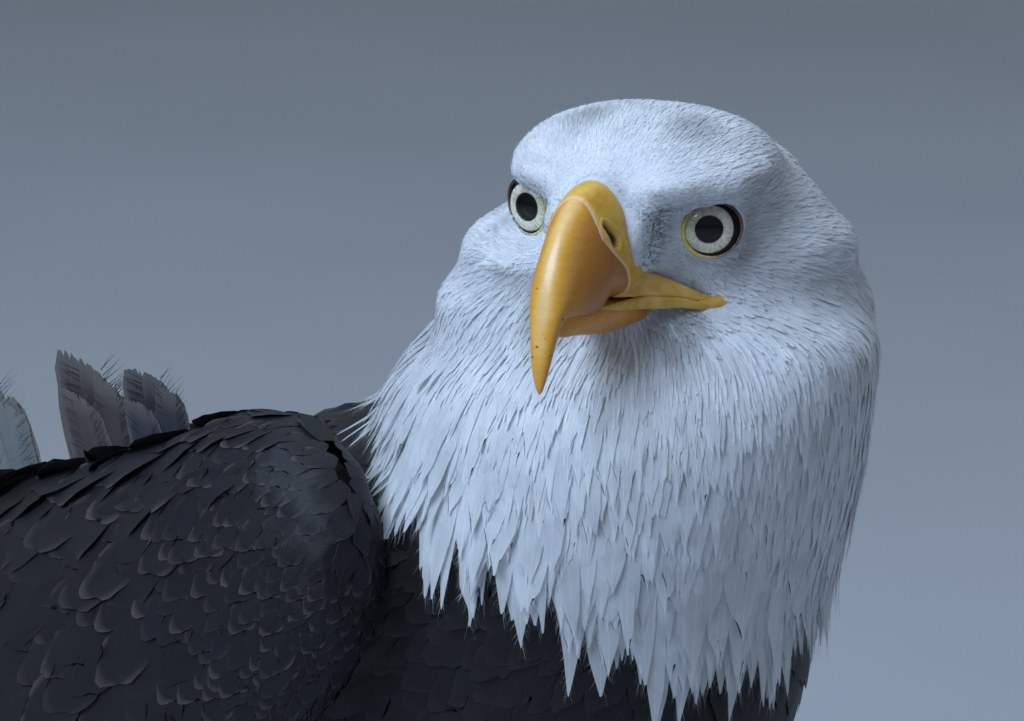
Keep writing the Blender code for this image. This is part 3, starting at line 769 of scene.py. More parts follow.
def vane_arrays(paths, ups, widths, outline, columns, arch, sweep, rag, jag, slant, seed):
    """Points of vanes (n, k, c, 3), and their places across in millimetres."""
    rng = np.random.default_rng(seed)
    n, k, _ = paths.shape
    along, side = along_and_side(paths, ups)
    half = widths[:, None] * np.asarray(outline)[None, :] / 2
    half = half[:, :, None] * np.ones(columns)
    cols = np.linspace(-1, 1, columns)
    ragged = 1 + rag * rng.normal(0, 1, (n, k, columns)) * (np.abs(cols) > 0.9)
    half = half * ragged
    shares = np.linspace(0, 1, k)
    wide = widths[:, None, None]
    back = (sweep * cols**2 + slant * cols)[None, None, :] * wide / 2 * (shares**3)[None, :, None]
    jags = jag * np.abs(rng.normal(0, 1, (n, 1, columns)))
    back = back + jags * wide * (shares**6)[None, :, None]
    out = half * cols
    drop = arch * wide * (out / (wide / 2)) ** 2
    points = paths[:, :, None, :] + side[:, :, None, :] * (out * MM)[..., None]
    points -= ups[:, :, None, :] * (drop * MM)[..., None]
    points -= along[:, :, None, :] * (back * MM)[..., None]
    return points, out


def grid_triangles(n, k, c):
    corner = np.arange(n * k * c).reshape(n, k, c)
    quads = (corner[:, :-1, :-1], corner[:, 1:, :-1], corner[:, 1:, 1:], corner[:, :-1, 1:])
    quads = np.stack(quads, axis=-1).reshape(-1, 4)
    return np.concatenate((quads[:, (0, 1, 2)], quads[:, (0, 2, 3)]))


def barb_arrays(paths, ups, widths, outline, barbs, reach, seed):
    """Loose barbs, thin triangles that stand out from the shaft towards the tip."""
    rng = np.random.default_rng(seed)
    n, k, _ = paths.shape
    along, side = along_and_side(paths, ups)
    shares = np.linspace(0, 1, k)
    lengths = path_lengths(paths)
    rows = np.arange(n)
    pieces, places, lies = [], [], []
    for b in range(barbs):
        at = 0.30 + 0.68 * (b + rng.random(n)) / barbs
        index = np.clip((at * (k - 1)).astype(int), 0, k - 2)
        t = at * (k - 1) - index

        def value(field):
            return field[rows, index] * (1 - t)[:, None] + field[rows, index + 1] * t[:, None]

        here, way, out, up = value(paths), value(along), value(side), value(ups)
        wide = np.interp(at, shares, outline) * widths / 2 * MM
        sign = np.where(rng.random(n) < 0.5, -1.0, 1.0)
        spread = (0.75 + reach * rng.random(n)) * wide + 0.0006
        ahead = (0.05 + 0.10 * rng.random(n)) * np.minimum(lengths, 0.035) + 0.0015
        rise = (rng.normal(0, 0.35, n) * MM)[:, None]
        tip = here + out * (sign * spread)[:, None] + way * ahead[:, None] + up * rise
        thick = (way * 0.00028 + out * (0.00010 * sign)[:, None]) * sign[:, None]
        from_shaft = sign * wide * 0.35
        start = here + out * from_shaft[:, None]
        pieces.append(np.stack((start - thick, start + thick, tip), axis=1))
        places.append(np.stack((from_shaft, from_shaft, sign * spread), axis=1) / MM)
        lies.append(up)
    return np.concatenate(pieces), np.concatenate(places), np.tile(rows, barbs), np.concatenate(lies)


def unwrap(roots, spine, heading):
    """A place in 0 to 1 for each root: the angle round a spine, and the distance along it."""
    away = roots - spine
    along = away @ heading
    flat = away - along[:, None] * heading
    first = unit(np.cross(heading, (0.31, 0.42, 0.85)))
    second = np.cross(heading, first)
    angle = np.arctan2(flat @ second, flat @ first) / (2 * math.pi) + 0.5
    span = along.max() - along.min() + 1e-6
    return np.stack((0.01 + 0.98 * angle, 0.01 + 0.98 * (along - along.min()) / span), axis=1)


PATCH = 0.003  # side of one feather's own place in the unwrapped coat


def coat_piece(name, look, slot, parts, spine, heading):
    """One joined mesh from several sets of vanes and barbs."""

    def gathered(key):
        return np.concatenate([part[key] for part in parts])

    starts = np.cumsum([0] + [len(part["points"]) for part in parts[:-1]])
    triangles = np.concatenate([part["faces"] + start for part, start in zip(parts, starts)])
    mesh = mesh_from_arrays(name, gathered("points"), triangles)
    bake = [unwrap(part["roots"], spine, heading)[part["owner"]] for part in parts]
    bake = np.concatenate([root + part["local"] * PATCH for root, part in zip(bake, parts)])
    order = triangles.ravel()
    for map_name, places in (("OFBake", bake), ("vane", gathered("vane"))):
        layer = mesh.uv_layers.new(name=map_name)
        layer.uv.foreach_set("vector", np.ascontiguousarray(places[order], np.float32).ravel())
    tints = gathered("tint")
    tints = np.concatenate((tints, np.ones((len(tints), 1))), axis=1)
    colours = mesh.attributes.new("tint", "FLOAT_COLOR", "POINT")
    colours.data.foreach_set("color", tints.astype(np.float32).ravel())
    lies = gathered("lie")
    soft = np.concatenate([np.full((len(part["points"]), 1), part["soft"]) for part in parts])
    own = normals_of(mesh)
    facing = np.where((own * lies).sum(axis=1, keepdims=True) < 0, -1.0, 1.0)
    leaning = unit(own * (1 - soft) + lies * facing * soft)
    mesh.normals_split_custom_set_from_vertices(leaning.tolist())
    return finish(new_object(name, mesh, look), slot)


def vane_set(
    roots, paths, ups, widths, tint, outline, columns, arch, sweep, rag, seed,
    edge=None, edge_from=0.72, jag=0.0, slant=0.0, soft=0.5,
):
    """One set of vanes for coat_piece. tint (n, 3) is each feather's colour, edge its rim's colour."""
    n, k, _ = paths.shape
    points, out = vane_arrays(paths, ups, widths, outline, columns, arch, sweep, rag, jag, slant, seed)
    lengths = path_lengths(paths) / MM
    shares = np.linspace(0, 1, k)[None, :, None]
    cols = np.linspace(-1, 1, columns)[None, None, :]
    along = shares * lengths[:, None, None] * np.ones(columns)
    vane = np.stack((out, along), axis=-1).reshape(-1, 2)
    local = np.stack(np.broadcast_arrays(cols / 2, shares - 0.5), axis=-1)
    local = np.broadcast_to(local, (n, k, columns, 2)).reshape(-1, 2)
    colour = np.broadcast_to(tint[:, None, None, :], (n, k, columns, 3))
    if edge is not None:
        sides = smoothstep(0.70, 1.0, np.abs(cols)) * smoothstep(0.3, 0.7, shares)
        rim = np.maximum(smoothstep(edge_from, 1.0, shares), sides)
        colour = colour * (1 - rim[..., None]) + edge[:, None, None, :] * rim[..., None]
    return {
        "points": points.reshape(-1, 3),
        "faces": grid_triangles(n, k, columns),
        "vane": vane,
        "tint": colour.reshape(-1, 3),
        "roots": roots,
        "owner": np.repeat(np.arange(n), k * columns),
        "local": local,
        "lie": np.broadcast_to(ups[:, :, None, :], (n, k, columns, 3)).reshape(-1, 3),
        "soft": soft,
    }


def barb_set(roots, paths, ups, widths, tint, outline, barbs, reach, seed):
    """Loose barbs for coat_piece, on the same feathers as a set of vanes."""
    points, places, owner, lies = barb_arrays(paths, ups, widths, outline, barbs, reach, seed)
    m = len(points)
    local = np.tile(((0.0, 0.0), (0.3, 0.0), (0.3, 0.4)), (m, 1))
    vane = np.stack((places.reshape(-1), np.tile((0.0, 0.4, 3.0), m)), axis=1)
    return {
        "points": points.reshape(-1, 3),
        "faces": np.arange(m * 3).reshape(m, 3),
        "vane": vane,
        "tint": np.repeat(tint[owner], 3, axis=0),
        "roots": roots,
        "owner": np.repeat(owner, 3),
        "local": local,
        "lie": np.repeat(lies, 3, axis=0),
        "soft": 1.0,
    }


# ---------------------------------------------------------------- the lie of the feathers


def head_flow(points):
    """Away from the root of the bill, over the crown and cheeks, then down the neck."""
    head = world_to_head(points)
    radial = unit(head - (30, 0, -4))
    radial[:, 2] -= 0.25 * smoothstep(0, -25, head[:, 2])
    from_face = unit(radial) @ HEAD_AXES
    body = world_to_body(points)
    out = np.stack((body[:, 0] - 146, body[:, 1] + 2, np.zeros(len(body))), axis=1)
    down = unit(unit(out) * 0.30 + np.array((0, 0, -1.0))) @ BODY_AXES
    lower = smoothstep(-16, -52, head[:, 2])[:, None]
    return unit(from_face * (1 - lower) + down * lower)


def body_flow(points):
    body = world_to_body(points)
    way = np.tile((-0.8, 0.0, -0.45), (len(body), 1))
    way[:, 2] -= 0.5 * smoothstep(120, 200, body[:, 0])
    return unit(way) @ BODY_AXES


def leg_flow(points):
    return np.tile((-0.12, 0.0, -1.0), (len(points), 1)) @ BODY_AXES


def wing_flow(points):
    body = world_to_body(points)
    rear = smoothstep(70, -120, body[:, 0])
    high = smoothstep(-40, 40, body[:, 2] - wing_middle(body[:, 0]))
    forward = -(0.50 + 0.45 * rear + 0.12 * high)
    up = -(0.85 - 0.50 * rear - 0.20 * high)
    return unit(np.stack((forward, np.zeros(len(body)), up), axis=1)) @ BODY_AXES


# The middle line of the folded wing: forward, up
WING_LINE = (
    (-432, 112), (-350, 147), (-280, 177), (-200, 214), (-130, 247), (-75, 271),
    (-28, 286), (14, 305), (52, 326), (84, 339), (125, 350),
)


def wing_middle(forward):
    table = np.array(WING_LINE, float)
    return np.interp(forward, table[:, 0], table[:, 1])


# ---------------------------------------------------------------- building the coat

WHITE = np.array(linear("#F2F5F8"))
GREY_LORE = np.array(linear("#A2A5A8"))
DARK = np.array(linear("#131214"))
DARK_BLUE = np.array(linear("#10131D"))
PALE_EDGE = np.array(linear("#655C58"))
FLIGHT = np.array(linear("#131113"))


def varied(colour, n, spread, seed):
    rng = np.random.default_rng(seed)
    tone = 1 + spread * rng.normal(0, 1, (n, 1))
    return np.clip(np.broadcast_to(colour, (n, 3)) * tone, 0, 1)


def from_mouth(head):
    """Distance from the lips, in millimetres."""
    line = spline(MOUTH["lower"], np.linspace(0.25, 1.0, 40))
    folded = np.abs(head) * (0, 1, 0) + head * (1, 0, 1)
    return np.linalg.norm(folded[:, None, :] - line[None], axis=2).min(axis=1)


LID_MARGIN, LIP_MARGIN, BILL_MARGIN = 0.8, 3.7, 0.7  # millimetres that stay bare round each


def bare_face(head, bill_tree):
    """True in the eye openings, on the cere and bill, and on the lips."""
    ground, out = nearest(bill_tree, head_to_world(head))
    bill = ((head_to_world(head) - ground) * out).sum(axis=1) < BILL_MARGIN * MM
    mouth = (head[:, 0] > 11) & (np.abs(head[:, 1]) < 10.8) & (head[:, 2] < -13) & (head[:, 2] > -31)
    return (past_lids(head) < LID_MARGIN) | bill | mouth | (from_mouth(head) < LIP_MARGIN)


def make_head_feathers(skin, tree, regions, bill_tree, look):
    def keep(points, normals):
        head = world_to_head(points)
        return (head[:, 2] > -46) & ~bare_face(head, bill_tree)

    points, normals = scatter(skin, 170000, 11, keep, regions, ("head", "neck"))
    head = world_to_head(points)
    away = np.linalg.norm(head - (24, 0, 2), axis=1)
    radii = 0.66 + 0.52 * smoothstep(8, 60, away) + 0.5 * smoothstep(-15, -45, head[:, 2])
    kept = thinned(points, radii)
    points, normals, head, away = points[kept], normals[kept], head[kept], away[kept]
    lengths = 3.6 + 7.5 * smoothstep(10, 70, away) + 8.0 * smoothstep(-12, -45, head[:, 2])
    lengths *= 0.50 + 0.50 * smoothstep(1, 12, past_lids(head))
    lengths *= 0.40 + 0.60 * smoothstep(3, 11, from_mouth(head))
    widths = 0.95 + 1.15 * smoothstep(10, 70, away)
    lifts = 0.35 + 0.75 * smoothstep(12, 55, away) + 1.4 * smoothstep(-15, -45, head[:, 2])
    rng = np.random.default_rng(5)
    lengths *= 1 + 0.18 * rng.normal(0, 1, len(kept))
    outline = (0.6, 1.0, 0.8, 0.25)
    paths, ups = lay(tree, points, normals, head_flow, lengths, lifts, 4, 0.16, 6, -0.3)
    tips = paths[:, -1]
    close = np.linalg.norm(nearest(tree, tips)[0] - tips, axis=1) < 0.0032
    close &= past_lids(world_to_head(tips)) > -0.2
    points, head, away, widths, paths, ups = (x[close] for x in (points, head, away, widths, paths, ups))
    n = len(points)
    tint = varied(WHITE, n, 0.03, 7)
    lore = smoothstep(-4, 6, head[:, 0]) * smoothstep(8.5, 3.5, head[:, 2]) * smoothstep(-30, -22, head[:, 2])
    lore *= smoothstep(15, 8, away - 14 + 0.2 * np.abs(head[:, 1]))
    behind = smoothstep(24, 12, eye_distance(head)) * smoothstep(0, -10, head[:, 0]) * 0.5
    corner = smoothstep(13, 5, np.linalg.norm(np.abs(head) - (6, 17, 29), axis=1)) * 0.55
    grey = np.clip(np.maximum(np.maximum(lore * 0.95, behind), corner), 0, 1)
    grey = (grey * (0.8 + 0.35 * rng.random(n)))[:, None]
    tint = np.clip(tint * (1 - grey) + GREY_LORE * grey, 0, 1)
    front = head[:, 0] > -18
    for name, chosen in (("head_feathers_front", front), ("head_feathers_rear", ~front)):
        index = np.flatnonzero(chosen)
        args = (points[index], paths[index], ups[index], widths[index], tint[index])
        vanes = vane_set(*args, outline, 3, 0.05, 0.4, 0.12, 8, soft=0.85)
        fringe = barb_set(*args, outline, 3, 0.5, 9)
        coat_piece(name, look, "white_feather", [vanes, fringe], EYES_AT, HEAD_AXES[0])


def make_neck_feathers(skin, tree, regions, look):
    def keep(points, normals):
        head = world_to_head(points)
        gape = (head[:, 0] > -16) & (head[:, 2] > -36)
        return (head[:, 2] < -28) & (above_collar(points) > 47) & ~gape

    points, normals = scatter(skin, 60000, 21, keep, regions, ("head", "neck", "trunk"))
    above = above_collar(points)
    radii = 1.75 + 0.65 * smoothstep(115, 60, above)
    kept = thinned(points, radii)
    points, normals = points[kept], normals[kept]
    above = above_collar(points)
    n = len(kept)
    rng = np.random.default_rng(22)
    hem = smoothstep(70, 50, above)
    uneven = 1 + 0.15 * rng.normal(0, 1, n) + 0.26 * hem * sway(points)
    lengths = (24 + 19 * smoothstep(125, 65, above)) * uneven
    widths = (3.0 + 4.0 * smoothstep(125, 55, above)) * (1 + 0.20 * rng.normal(0, 1, n))
    lifts = 2.6 + 0.8 * smoothstep(110, 60, above) + 2.0 * hem + (0.4 + 0.9 * hem) * rng.normal(0, 1, n)
    outline = (0.5, 0.9, 1.0, 0.92, 0.66, 0.16)
    paths, ups = lay(tree, points, normals, head_flow, lengths, lifts, 6, 0.15, 23, -0.5)
    tint = varied(WHITE, n, 0.03, 24)
    for name, chosen in (("neck_feathers_upper", above >= 82), ("neck_feathers_lower", above < 82)):
        index = np.flatnonzero(chosen)
        args = (points[index], paths[index], ups[index], widths[index], tint[index])
        parts = [vane_set(*args, outline, 5, 0.03, 0.5, 0.10, 25, jag=0.14, soft=0.90)]
        loose = np.flatnonzero(hem[index] > 0.3)
        if len(loose):
            parts.append(barb_set(*[part[loose] for part in args], outline, 44, 0.6, 27))
        coat_piece(name, look, "white_feather", parts, EYES_AT, BODY_AXES[2])


def make_body_feathers(skin, tree, regions, look):
    def keep(points, normals):
        body = world_to_body(points)
        leg = (body[:, 2] < 175) & (np.abs(body[:, 1]) > 12) & (body[:, 0] > -75) & (body[:, 0] < 60)
        return (above_collar(points) < 50) & ~leg & (body[:, 0] > -260)

    points, normals = scatter(skin, 26000, 31, keep, regions, ("neck", "trunk"))
    kept = thinned(points, 5.2 + 1.6 * smoothstep(40, -60, above_collar(points)))
    points, normals = points[kept], normals[kept]
    body, above = world_to_body(points), above_collar(points)
    n = len(kept)
    rng = np.random.default_rng(32)
    lower = smoothstep(30, -60, above)
    lengths = (22 + 14 * lower) * (1 + 0.12 * rng.normal(0, 1, n))
    widths = (12 + 6 * lower) * (1 + 0.1 * rng.normal(0, 1, n))
    lifts = (2.4 + 0.5 * rng.normal(0, 1, n)) * (0.2 + 0.8 * smoothstep(44, 14, above))
    outline = (0.5, 0.9, 1.0, 0.95, 0.62)
    paths, ups = lay(tree, points, normals, body_flow, lengths, lifts, 5, 0.10, 33, -0.5)
    white = smoothstep(-150, -185, body[:, 0])[:, None]
    tint = varied(DARK, n, 0.12, 34) * (1 - white) + varied(WHITE, n, 0.03, 35) * white
    edge = (tint * 0.94 + PALE_EDGE * 0.06) * (1 - white) + WHITE * white
    args = (points, paths, ups, widths, tint)
    vanes = vane_set(*args, outline, 7, 0.04, 0.8, 0.05, 36, edge, 0.8, jag=0.10, soft=0.8)
    middle = body_to_world((20, 0, 280))
    coat_piece("body_feathers", look, "brown_feather", [vanes], middle, BODY_AXES[0])


def make_leg_feathers(skin, tree, look):
    def keep(points, normals):
        body = world_to_body(points)
        beside = (np.abs(body[:, 1]) > 8) & (body[:, 0] > -80) & (body[:, 0] < 62)
        return beside & (body[:, 2] < 190) & (body[:, 2] > 60)

    points, normals = scatter(skin, 26000, 41, keep)
    kept = thinned(points, np.full(len(points), 3.6))
    points, normals = points[kept], normals[kept]
    body = world_to_body(points)
    n = len(kept)
    rng = np.random.default_rng(42)
    low = smoothstep(170, 90, body[:, 2])
    lengths = (27 - 8 * low) * (1 + 0.15 * rng.normal(0, 1, n))
    widths = (9 - 3.0 * low) * (1 + 0.1 * rng.normal(0, 1, n))
    lifts = 5.5 + 0.8 * rng.normal(0, 1, n)
    outline = (0.5, 0.95, 0.9, 0.4)
    paths, ups = lay(tree, points, normals, leg_flow, lengths, lifts, 4, 0.12, 43, -0.5)
    tint = varied(DARK, n, 0.12, 44)
    edge = tint * 0.85 + PALE_EDGE * 0.15
    vanes = vane_set(points, paths, ups, widths, tint, outline, 3, 0.06, 0.6, 0.10, 45, edge, jag=0.06)
    middle = body_to_world((0, 0, 150))
    coat_piece("leg_feathers", look, "brown_feather", [vanes], middle, BODY_AXES[2])


def wing_coat(side, name, look, slot, vanes):
    spine = body_to_world((0, 90 * SIDES[side], 300))
    coat_piece(f"wing_{side}_{name}", look, slot, [vanes], spine, BODY_AXES[0])


def make_wing_coverts(side, form, tree, look):
    sign = SIDES[side]

    def keep(points, normals):
        outward = normals @ BODY_AXES[1] * sign
        forward = normals @ BODY_AXES[0]
        shown = (outward > -0.45) | (normals[:, 2] > 0.2) | (forward > 0.1)
        return shown & (world_to_body(points)[:, 0] > -150)

    points, normals = scatter(form, 30000, 51, keep)
    body = world_to_body(points)
    growth = smoothstep(122, 10, body[:, 0])
    widths_all = 8.0 + 15.0 * growth
    kept = thinned(points, widths_all * (0.38 + 0.08 * growth))
    points, normals, body, widths = points[kept], normals[kept], body[kept], widths_all[kept]
    n = len(kept)
    rng = np.random.default_rng(52)
    lengths = widths * 1.8 * (1 + 0.10 * rng.normal(0, 1, n))
    widths = widths * (1 + 0.06 * rng.normal(0, 1, n))
    lifts = 1.1 + 0.8 * smoothstep(110, 0, body[:, 0]) + 0.2 * rng.normal(0, 1, n)
    lifts *= 1 - 0.6 * smoothstep(0.2, 0.7, normals[:, 2])
    outline = (0.55, 0.80, 0.92, 1.0, 1.0, 0.96, 0.84, 0.60)
    paths, ups = lay(tree, points, normals, wing_flow, lengths, lifts, 8, 0.08, 53, -0.4)
    blue = rng.random((n, 1)) * 0.6
    tint = varied(DARK, n, 0.14, 54) * (1 - blue) + DARK_BLUE * blue
    worn = rng.random((n, 1)) ** 1.5
    edge = tint * (1 - 0.55 * worn) + PALE_EDGE * 0.55 * worn
    args = (points, paths, ups, widths, tint)
    vanes = vane_set(*args, outline, 9, 0.035, 0.9, 0.02, 55, edge, 0.90, jag=0.03, soft=0.75)
    wing_coat(side, "coverts", look, "brown_feather", vanes)


# The folded wing's long feathers, forward and up: how many, root and tip of the first,
# how far the last one's root and tip lie from those, and their width
LONG_FEATHERS = {
    "secondaries": (11, (20, 270), (-62, 214), (-120, -38), (-200, -62), 27.0),
    "primaries": (8, (-70, 218), (-290, 140), (-30, 6), (-140, -30), 23.0),
    "tertials": (6, (-60, 322), (-190, 262), (-60, -24), (-110, -66), 34.0),
}


def long_feathers():
    """Root, tip and width of each long feather of a folded wing."""
    rows = []
    for count, root, tip, root_shift, tip_shift, width in LONG_FEATHERS.values():
        for i in range(count):
            t = i / (count - 1)
            ends = [[a + d * t for a, d in zip(*pair)] for pair in ((root, root_shift), (tip, tip_shift))]
            rows.append((*ends, width))
    return rows


def make_flight_feathers(side, tree, look):
    sign = SIDES[side]
    paths, widths, steps = [], [], 14
    for order, (root, tip, width) in enumerate(long_feathers(), 1):
        line = np.linspace(root, tip, steps)
        bow = np.sin(np.linspace(0, math.pi, steps)) * 5.0
        places, out = [], 70.0
        for (forward, up), rise in zip(line, bow):
            start = body_to_world((forward, 200.0 * sign, up + rise))
            hit = tree.ray_cast(Vector(start), Vector(BODY_AXES[1] * -sign))
            if hit[0] is not None:
                found = abs(world_to_body(np.array(hit[0]))[1])
                if found > 8:
                    out = found
            places.append((forward, (out + 0.5 + 0.16 * order) * sign, up + rise))
        lateral = np.array([abs(p[1]) for p in places])
        for _ in range(3):
            lateral[1:-1] = (lateral[:-2] + 2 * lateral[1:-1] + lateral[2:]) / 4
        path = [(forward, left * sign, up) for (forward, _, up), left in zip(places, lateral)]
        paths.append(body_to_world(path))
        widths.append(width)
    paths, widths = np.array(paths), np.array(widths)
    n = len(paths)
    along = unit(np.gradient(paths, axis=1))
    outward = np.broadcast_to(BODY_AXES[1] * sign, along.shape)
    ups = tangent(outward + np.array((0, 0, 0.25)), along)
    shares = np.linspace(0, 1, steps)
    outline = np.interp(shares, (0, 0.15, 0.5, 0.85, 0.95, 1.0), (0.5, 0.8, 1.0, 0.95, 0.7, 0.4))
    tint = varied(FLIGHT, n, 0.10, 61)
    edge = tint * 0.6 + PALE_EDGE * 0.4
    vanes = vane_set(paths[:, 0], paths, ups, widths, tint, outline, 9, 0.06, 0.7, 0.01, 62, edge, 0.93)
    wing_coat(side, "flight_feathers", look, "flight_feather", vanes)


# The tail along its length: distance behind the body's middle, half width between its outer shafts, height
TAIL_LINE = ((160, 28, 202), (230, 32, 168), (300, 38, 135), (370, 44, 103), (428, 46, 78), (446, 46, 70))


def make_tail_feathers(look):
    steps, count = 14, 12
    behind, half_widths, heights = zip(*TAIL_LINE)
    paths = []
    for i in range(count):
        side = (i - (count - 1) / 2) / ((count - 1) / 2)
        layer = 1.6 * (1 - abs(side))
        forward = np.linspace(-160, -444 + 10 * abs(side), steps)
        left = side * np.interp(-forward, behind, half_widths)
        up = np.interp(-forward, behind, heights) - 9.0 * side * side + layer
        paths.append(body_to_world(np.stack((forward, left, up), axis=1)))
    paths = np.array(paths)
    along = unit(np.gradient(paths, axis=1))
    ups = tangent(np.broadcast_to((0.0, 0.0, 1.0), along.shape), along)
    ups = unit(ups + np.linspace(-1, 1, count)[:, None, None] * BODY_AXES[1] * 0.22)
    shares = np.linspace(0, 1, steps)
    outline = np.interp(shares, (0, 0.2, 0.6, 0.9, 0.97, 1.0), (0.5, 0.7, 1.0, 1.0, 0.85, 0.6))
    args = (paths[:, 0], paths, ups, np.full(count, 33.0), varied(WHITE, count, 0.02, 71))
    vanes = vane_set(*args, outline, 9, 0.03, 0.5, 0.02, 72)
    middle = body_to_world((-300, 0, 130))
    piece = coat_piece("tail_feathers", look, "white_feather", [vanes], middle, BODY_AXES[0])
    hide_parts("tail")


# ---------------------------------------------------------------- bill

# Rows from the forehead to the tip: ridge (forward, up), edge (forward, up), half width, narrowing
UPPER_BILL = (
    (13.5, -2.0, 13.5, -2.0, 0.0, 0.0),
    (14.0, 12.6, 11.0, -19.0, 10.4, 0.16),
    (22.0, 14.2, 18.0, -20.2, 11.0, 0.20),
    (29.0, 14.1, 24.5, -20.2, 10.9, 0.24),
    (36.0, 12.3, 31.0, -19.4, 10.2, 0.26),
    (43.0, 8.4, 37.5, -22.3, 9.3, 0.27),
    (50.0, 1.8, 44.0, -21.7, 8.2, 0.26),
    (55.5, -6.0, 50.2, -20.4, 7.0, 0.20),
    (59.5, -15.0, 54.8, -20.4, 5.4, 0.14),
    (62.3, -24.0, 58.0, -26.0, 4.0, 0.10),
    (63.7, -32.0, 60.6, -33.6, 2.7, 0.05),
    (63.9, -38.0, 62.2, -39.2, 1.3, 0.0),
    (63.2, -41.2, 63.2, -41.2, 0.0, 0.0),
)
LOWER_BILL = (
    (-3.0, -28.0, -3.0, -28.0, 0.0, 0.0),
    (0.0, -23.8, -2.0, -31.6, 11.0, 0.0),
    (14.0, -22.4, 13.0, -32.0, 10.8, 0.0),
    (29.0, -19.8, 28.0, -30.7, 9.3, 0.0),
    (38.0, -19.0, 38.0, -28.8, 7.9, 0.0),
    (46.0, -18.0, 46.0, -27.1, 6.2, 0.0),
    (51.5, -18.4, 51.5, -26.2, 4.2, 0.0),
    (54.0, -22.5, 54.0, -22.5, 0.0, 0.0),
)
# The front edge of the cere on the horn: up, forward
CERE_EDGE = (
    (-24, 20.5), (-16.5, 22.0), (-10.7, 25.0), (-4.3, 32.0), (0.8, 36.0), (6.0, 36.4), (14.0, 35.6)
)
NOSTRIL = ((33.4, 4.0), (30.2, -1.2))  # forward, up of its narrow and its wide end
NOSTRIL_HALF_WIDTHS = (1.1, 2.0)
# The mouth line from under the cere to its corner; both lips share its rear
MOUTH_REAR = ((8.5, 16.5, -22.7), (3.5, 20.8, -24.0), (-2.0, 25.8, -26.5), (-6.6, 30.4, -27.2))
MOUTH = {
    "upper": ((25.0, 7.4, -20.2), (21.0, 9.4, -20.9), (17.5, 11.0, -21.4), (13.5, 12.6, -21.8), *MOUTH_REAR),
    "lower": ((36.0, 6.6, -20.6), (27.0, 8.7, -21.1), (19.0, 10.6, -21.6), (14.0, 12.4, -21.8), *MOUTH_REAR),
}
# Half thickness and half height of each lip along it
LIPS = {
    "upper": (
        (0.4, 0.5), (0.9, 2.4), (1.1, 3.8), (1.2, 4.0), (1.1, 3.1), (1.0, 2.0), (0.9, 1.2), (0.4, 0.4)
    ),
    "lower": (
        (0.3, 0.4), (0.9, 1.3), (1.1, 1.8), (1.3, 2.1), (1.3, 2.1), (1.2, 1.7), (1.0, 1.2), (0.4, 0.4)
    ),
}
LIP_GAP = 0.12  # millimetres between a lip and the mouth line
MOUTH_CORNER = ((0.0, 24.4, -26.2), (-3.6, 27.8, -26.8), (-6.4, 30.4, -27.3), (-8.2, 31.6, -27.6))
MOUTH_CORNER_SIZES = ((0.4, 0.5), (1.4, 1.8), (1.6, 1.9), (0.7, 0.8))
LIP_LEAN = {"upper": (0.16, -0.40, 1.0), "lower": (0.0, -0.22, -1.0)}  # from the mouth line over each lip


def bill_surface(table, turn, share):
    """Head points of a mandible. turn 0 is the ridge, pi the middle of the underside."""
    row = spline(table, share)
    c, s = np.cos(turn), np.sin(turn)
    up = np.sign(c) * np.abs(c) ** 0.86
    out = np.sign(s) * np.abs(s) ** np.where(c > 0, 0.92, 0.42)
    x = (row[:, 0] + row[:, 2]) / 2 + (row[:, 0] - row[:, 2]) / 2 * up
    z = (row[:, 1] + row[:, 3]) / 2 + (row[:, 1] - row[:, 3]) / 2 * up
    y = row[:, 4] * out * (1 - row[:, 5] * up)
    return np.stack((x, y, z), axis=1)


def bill_heart(share):
    """The middle line of the upper bill, as head points."""
    row = spline(UPPER_BILL, share)
    flat = np.zeros(len(row))
    return np.stack(((row[:, 0] + row[:, 2]) / 2, flat, (row[:, 1] + row[:, 3]) / 2), axis=1)


def upper_bill_tree():
    """The whole form of the upper bill, which no feather may stand on."""
    form = rolled("bill_form", 64, 90, lambda *place: head_to_world(bill_surface(UPPER_BILL, *place)), None)
    tree = surface_tree(form)
    bpy.data.objects.remove(form)
    return tree


def behind_cere_edge(head):
    """How far points lie behind the front edge of the cere, in millimetres."""
    up, forward = np.array(CERE_EDGE, float).T
    return np.interp(head[:, 2], up, forward) - head[:, 0]


def cere_end(turns):
    """For each turn round the bill, the share of its length where the cere stops."""
    shares = np.linspace(0.04, 0.7, 200)
    ends = np.empty(len(turns))
    for i, turn in enumerate(turns):
        past = behind_cere_edge(bill_surface(UPPER_BILL, np.full(len(shares), turn), shares)) < 0
        ends[i] = shares[np.argmax(past)] if past.any() else shares[-1]
    return ends


def nostril_depth(head):
    """1 in the nostril and 0 outside it, and how far each point is off its middle, 1 at its rim."""
    (ax, az), (bx, bz) = NOSTRIL
    way = np.array((bx - ax, bz - az))
    t = np.clip(((head[:, 0] - ax) * way[0] + (head[:, 2] - az) * way[1]) / (way @ way), 0, 1)
    off = np.hypot(head[:, 0] - ax - t * way[0], head[:, 2] - az - t * way[1])
    narrow, wide = NOSTRIL_HALF_WIDTHS
    half = narrow + (wide - narrow) * t
    return smoothstep(1.2, 0.3, off / half) * (np.abs(head[:, 1]) > 3), off / half


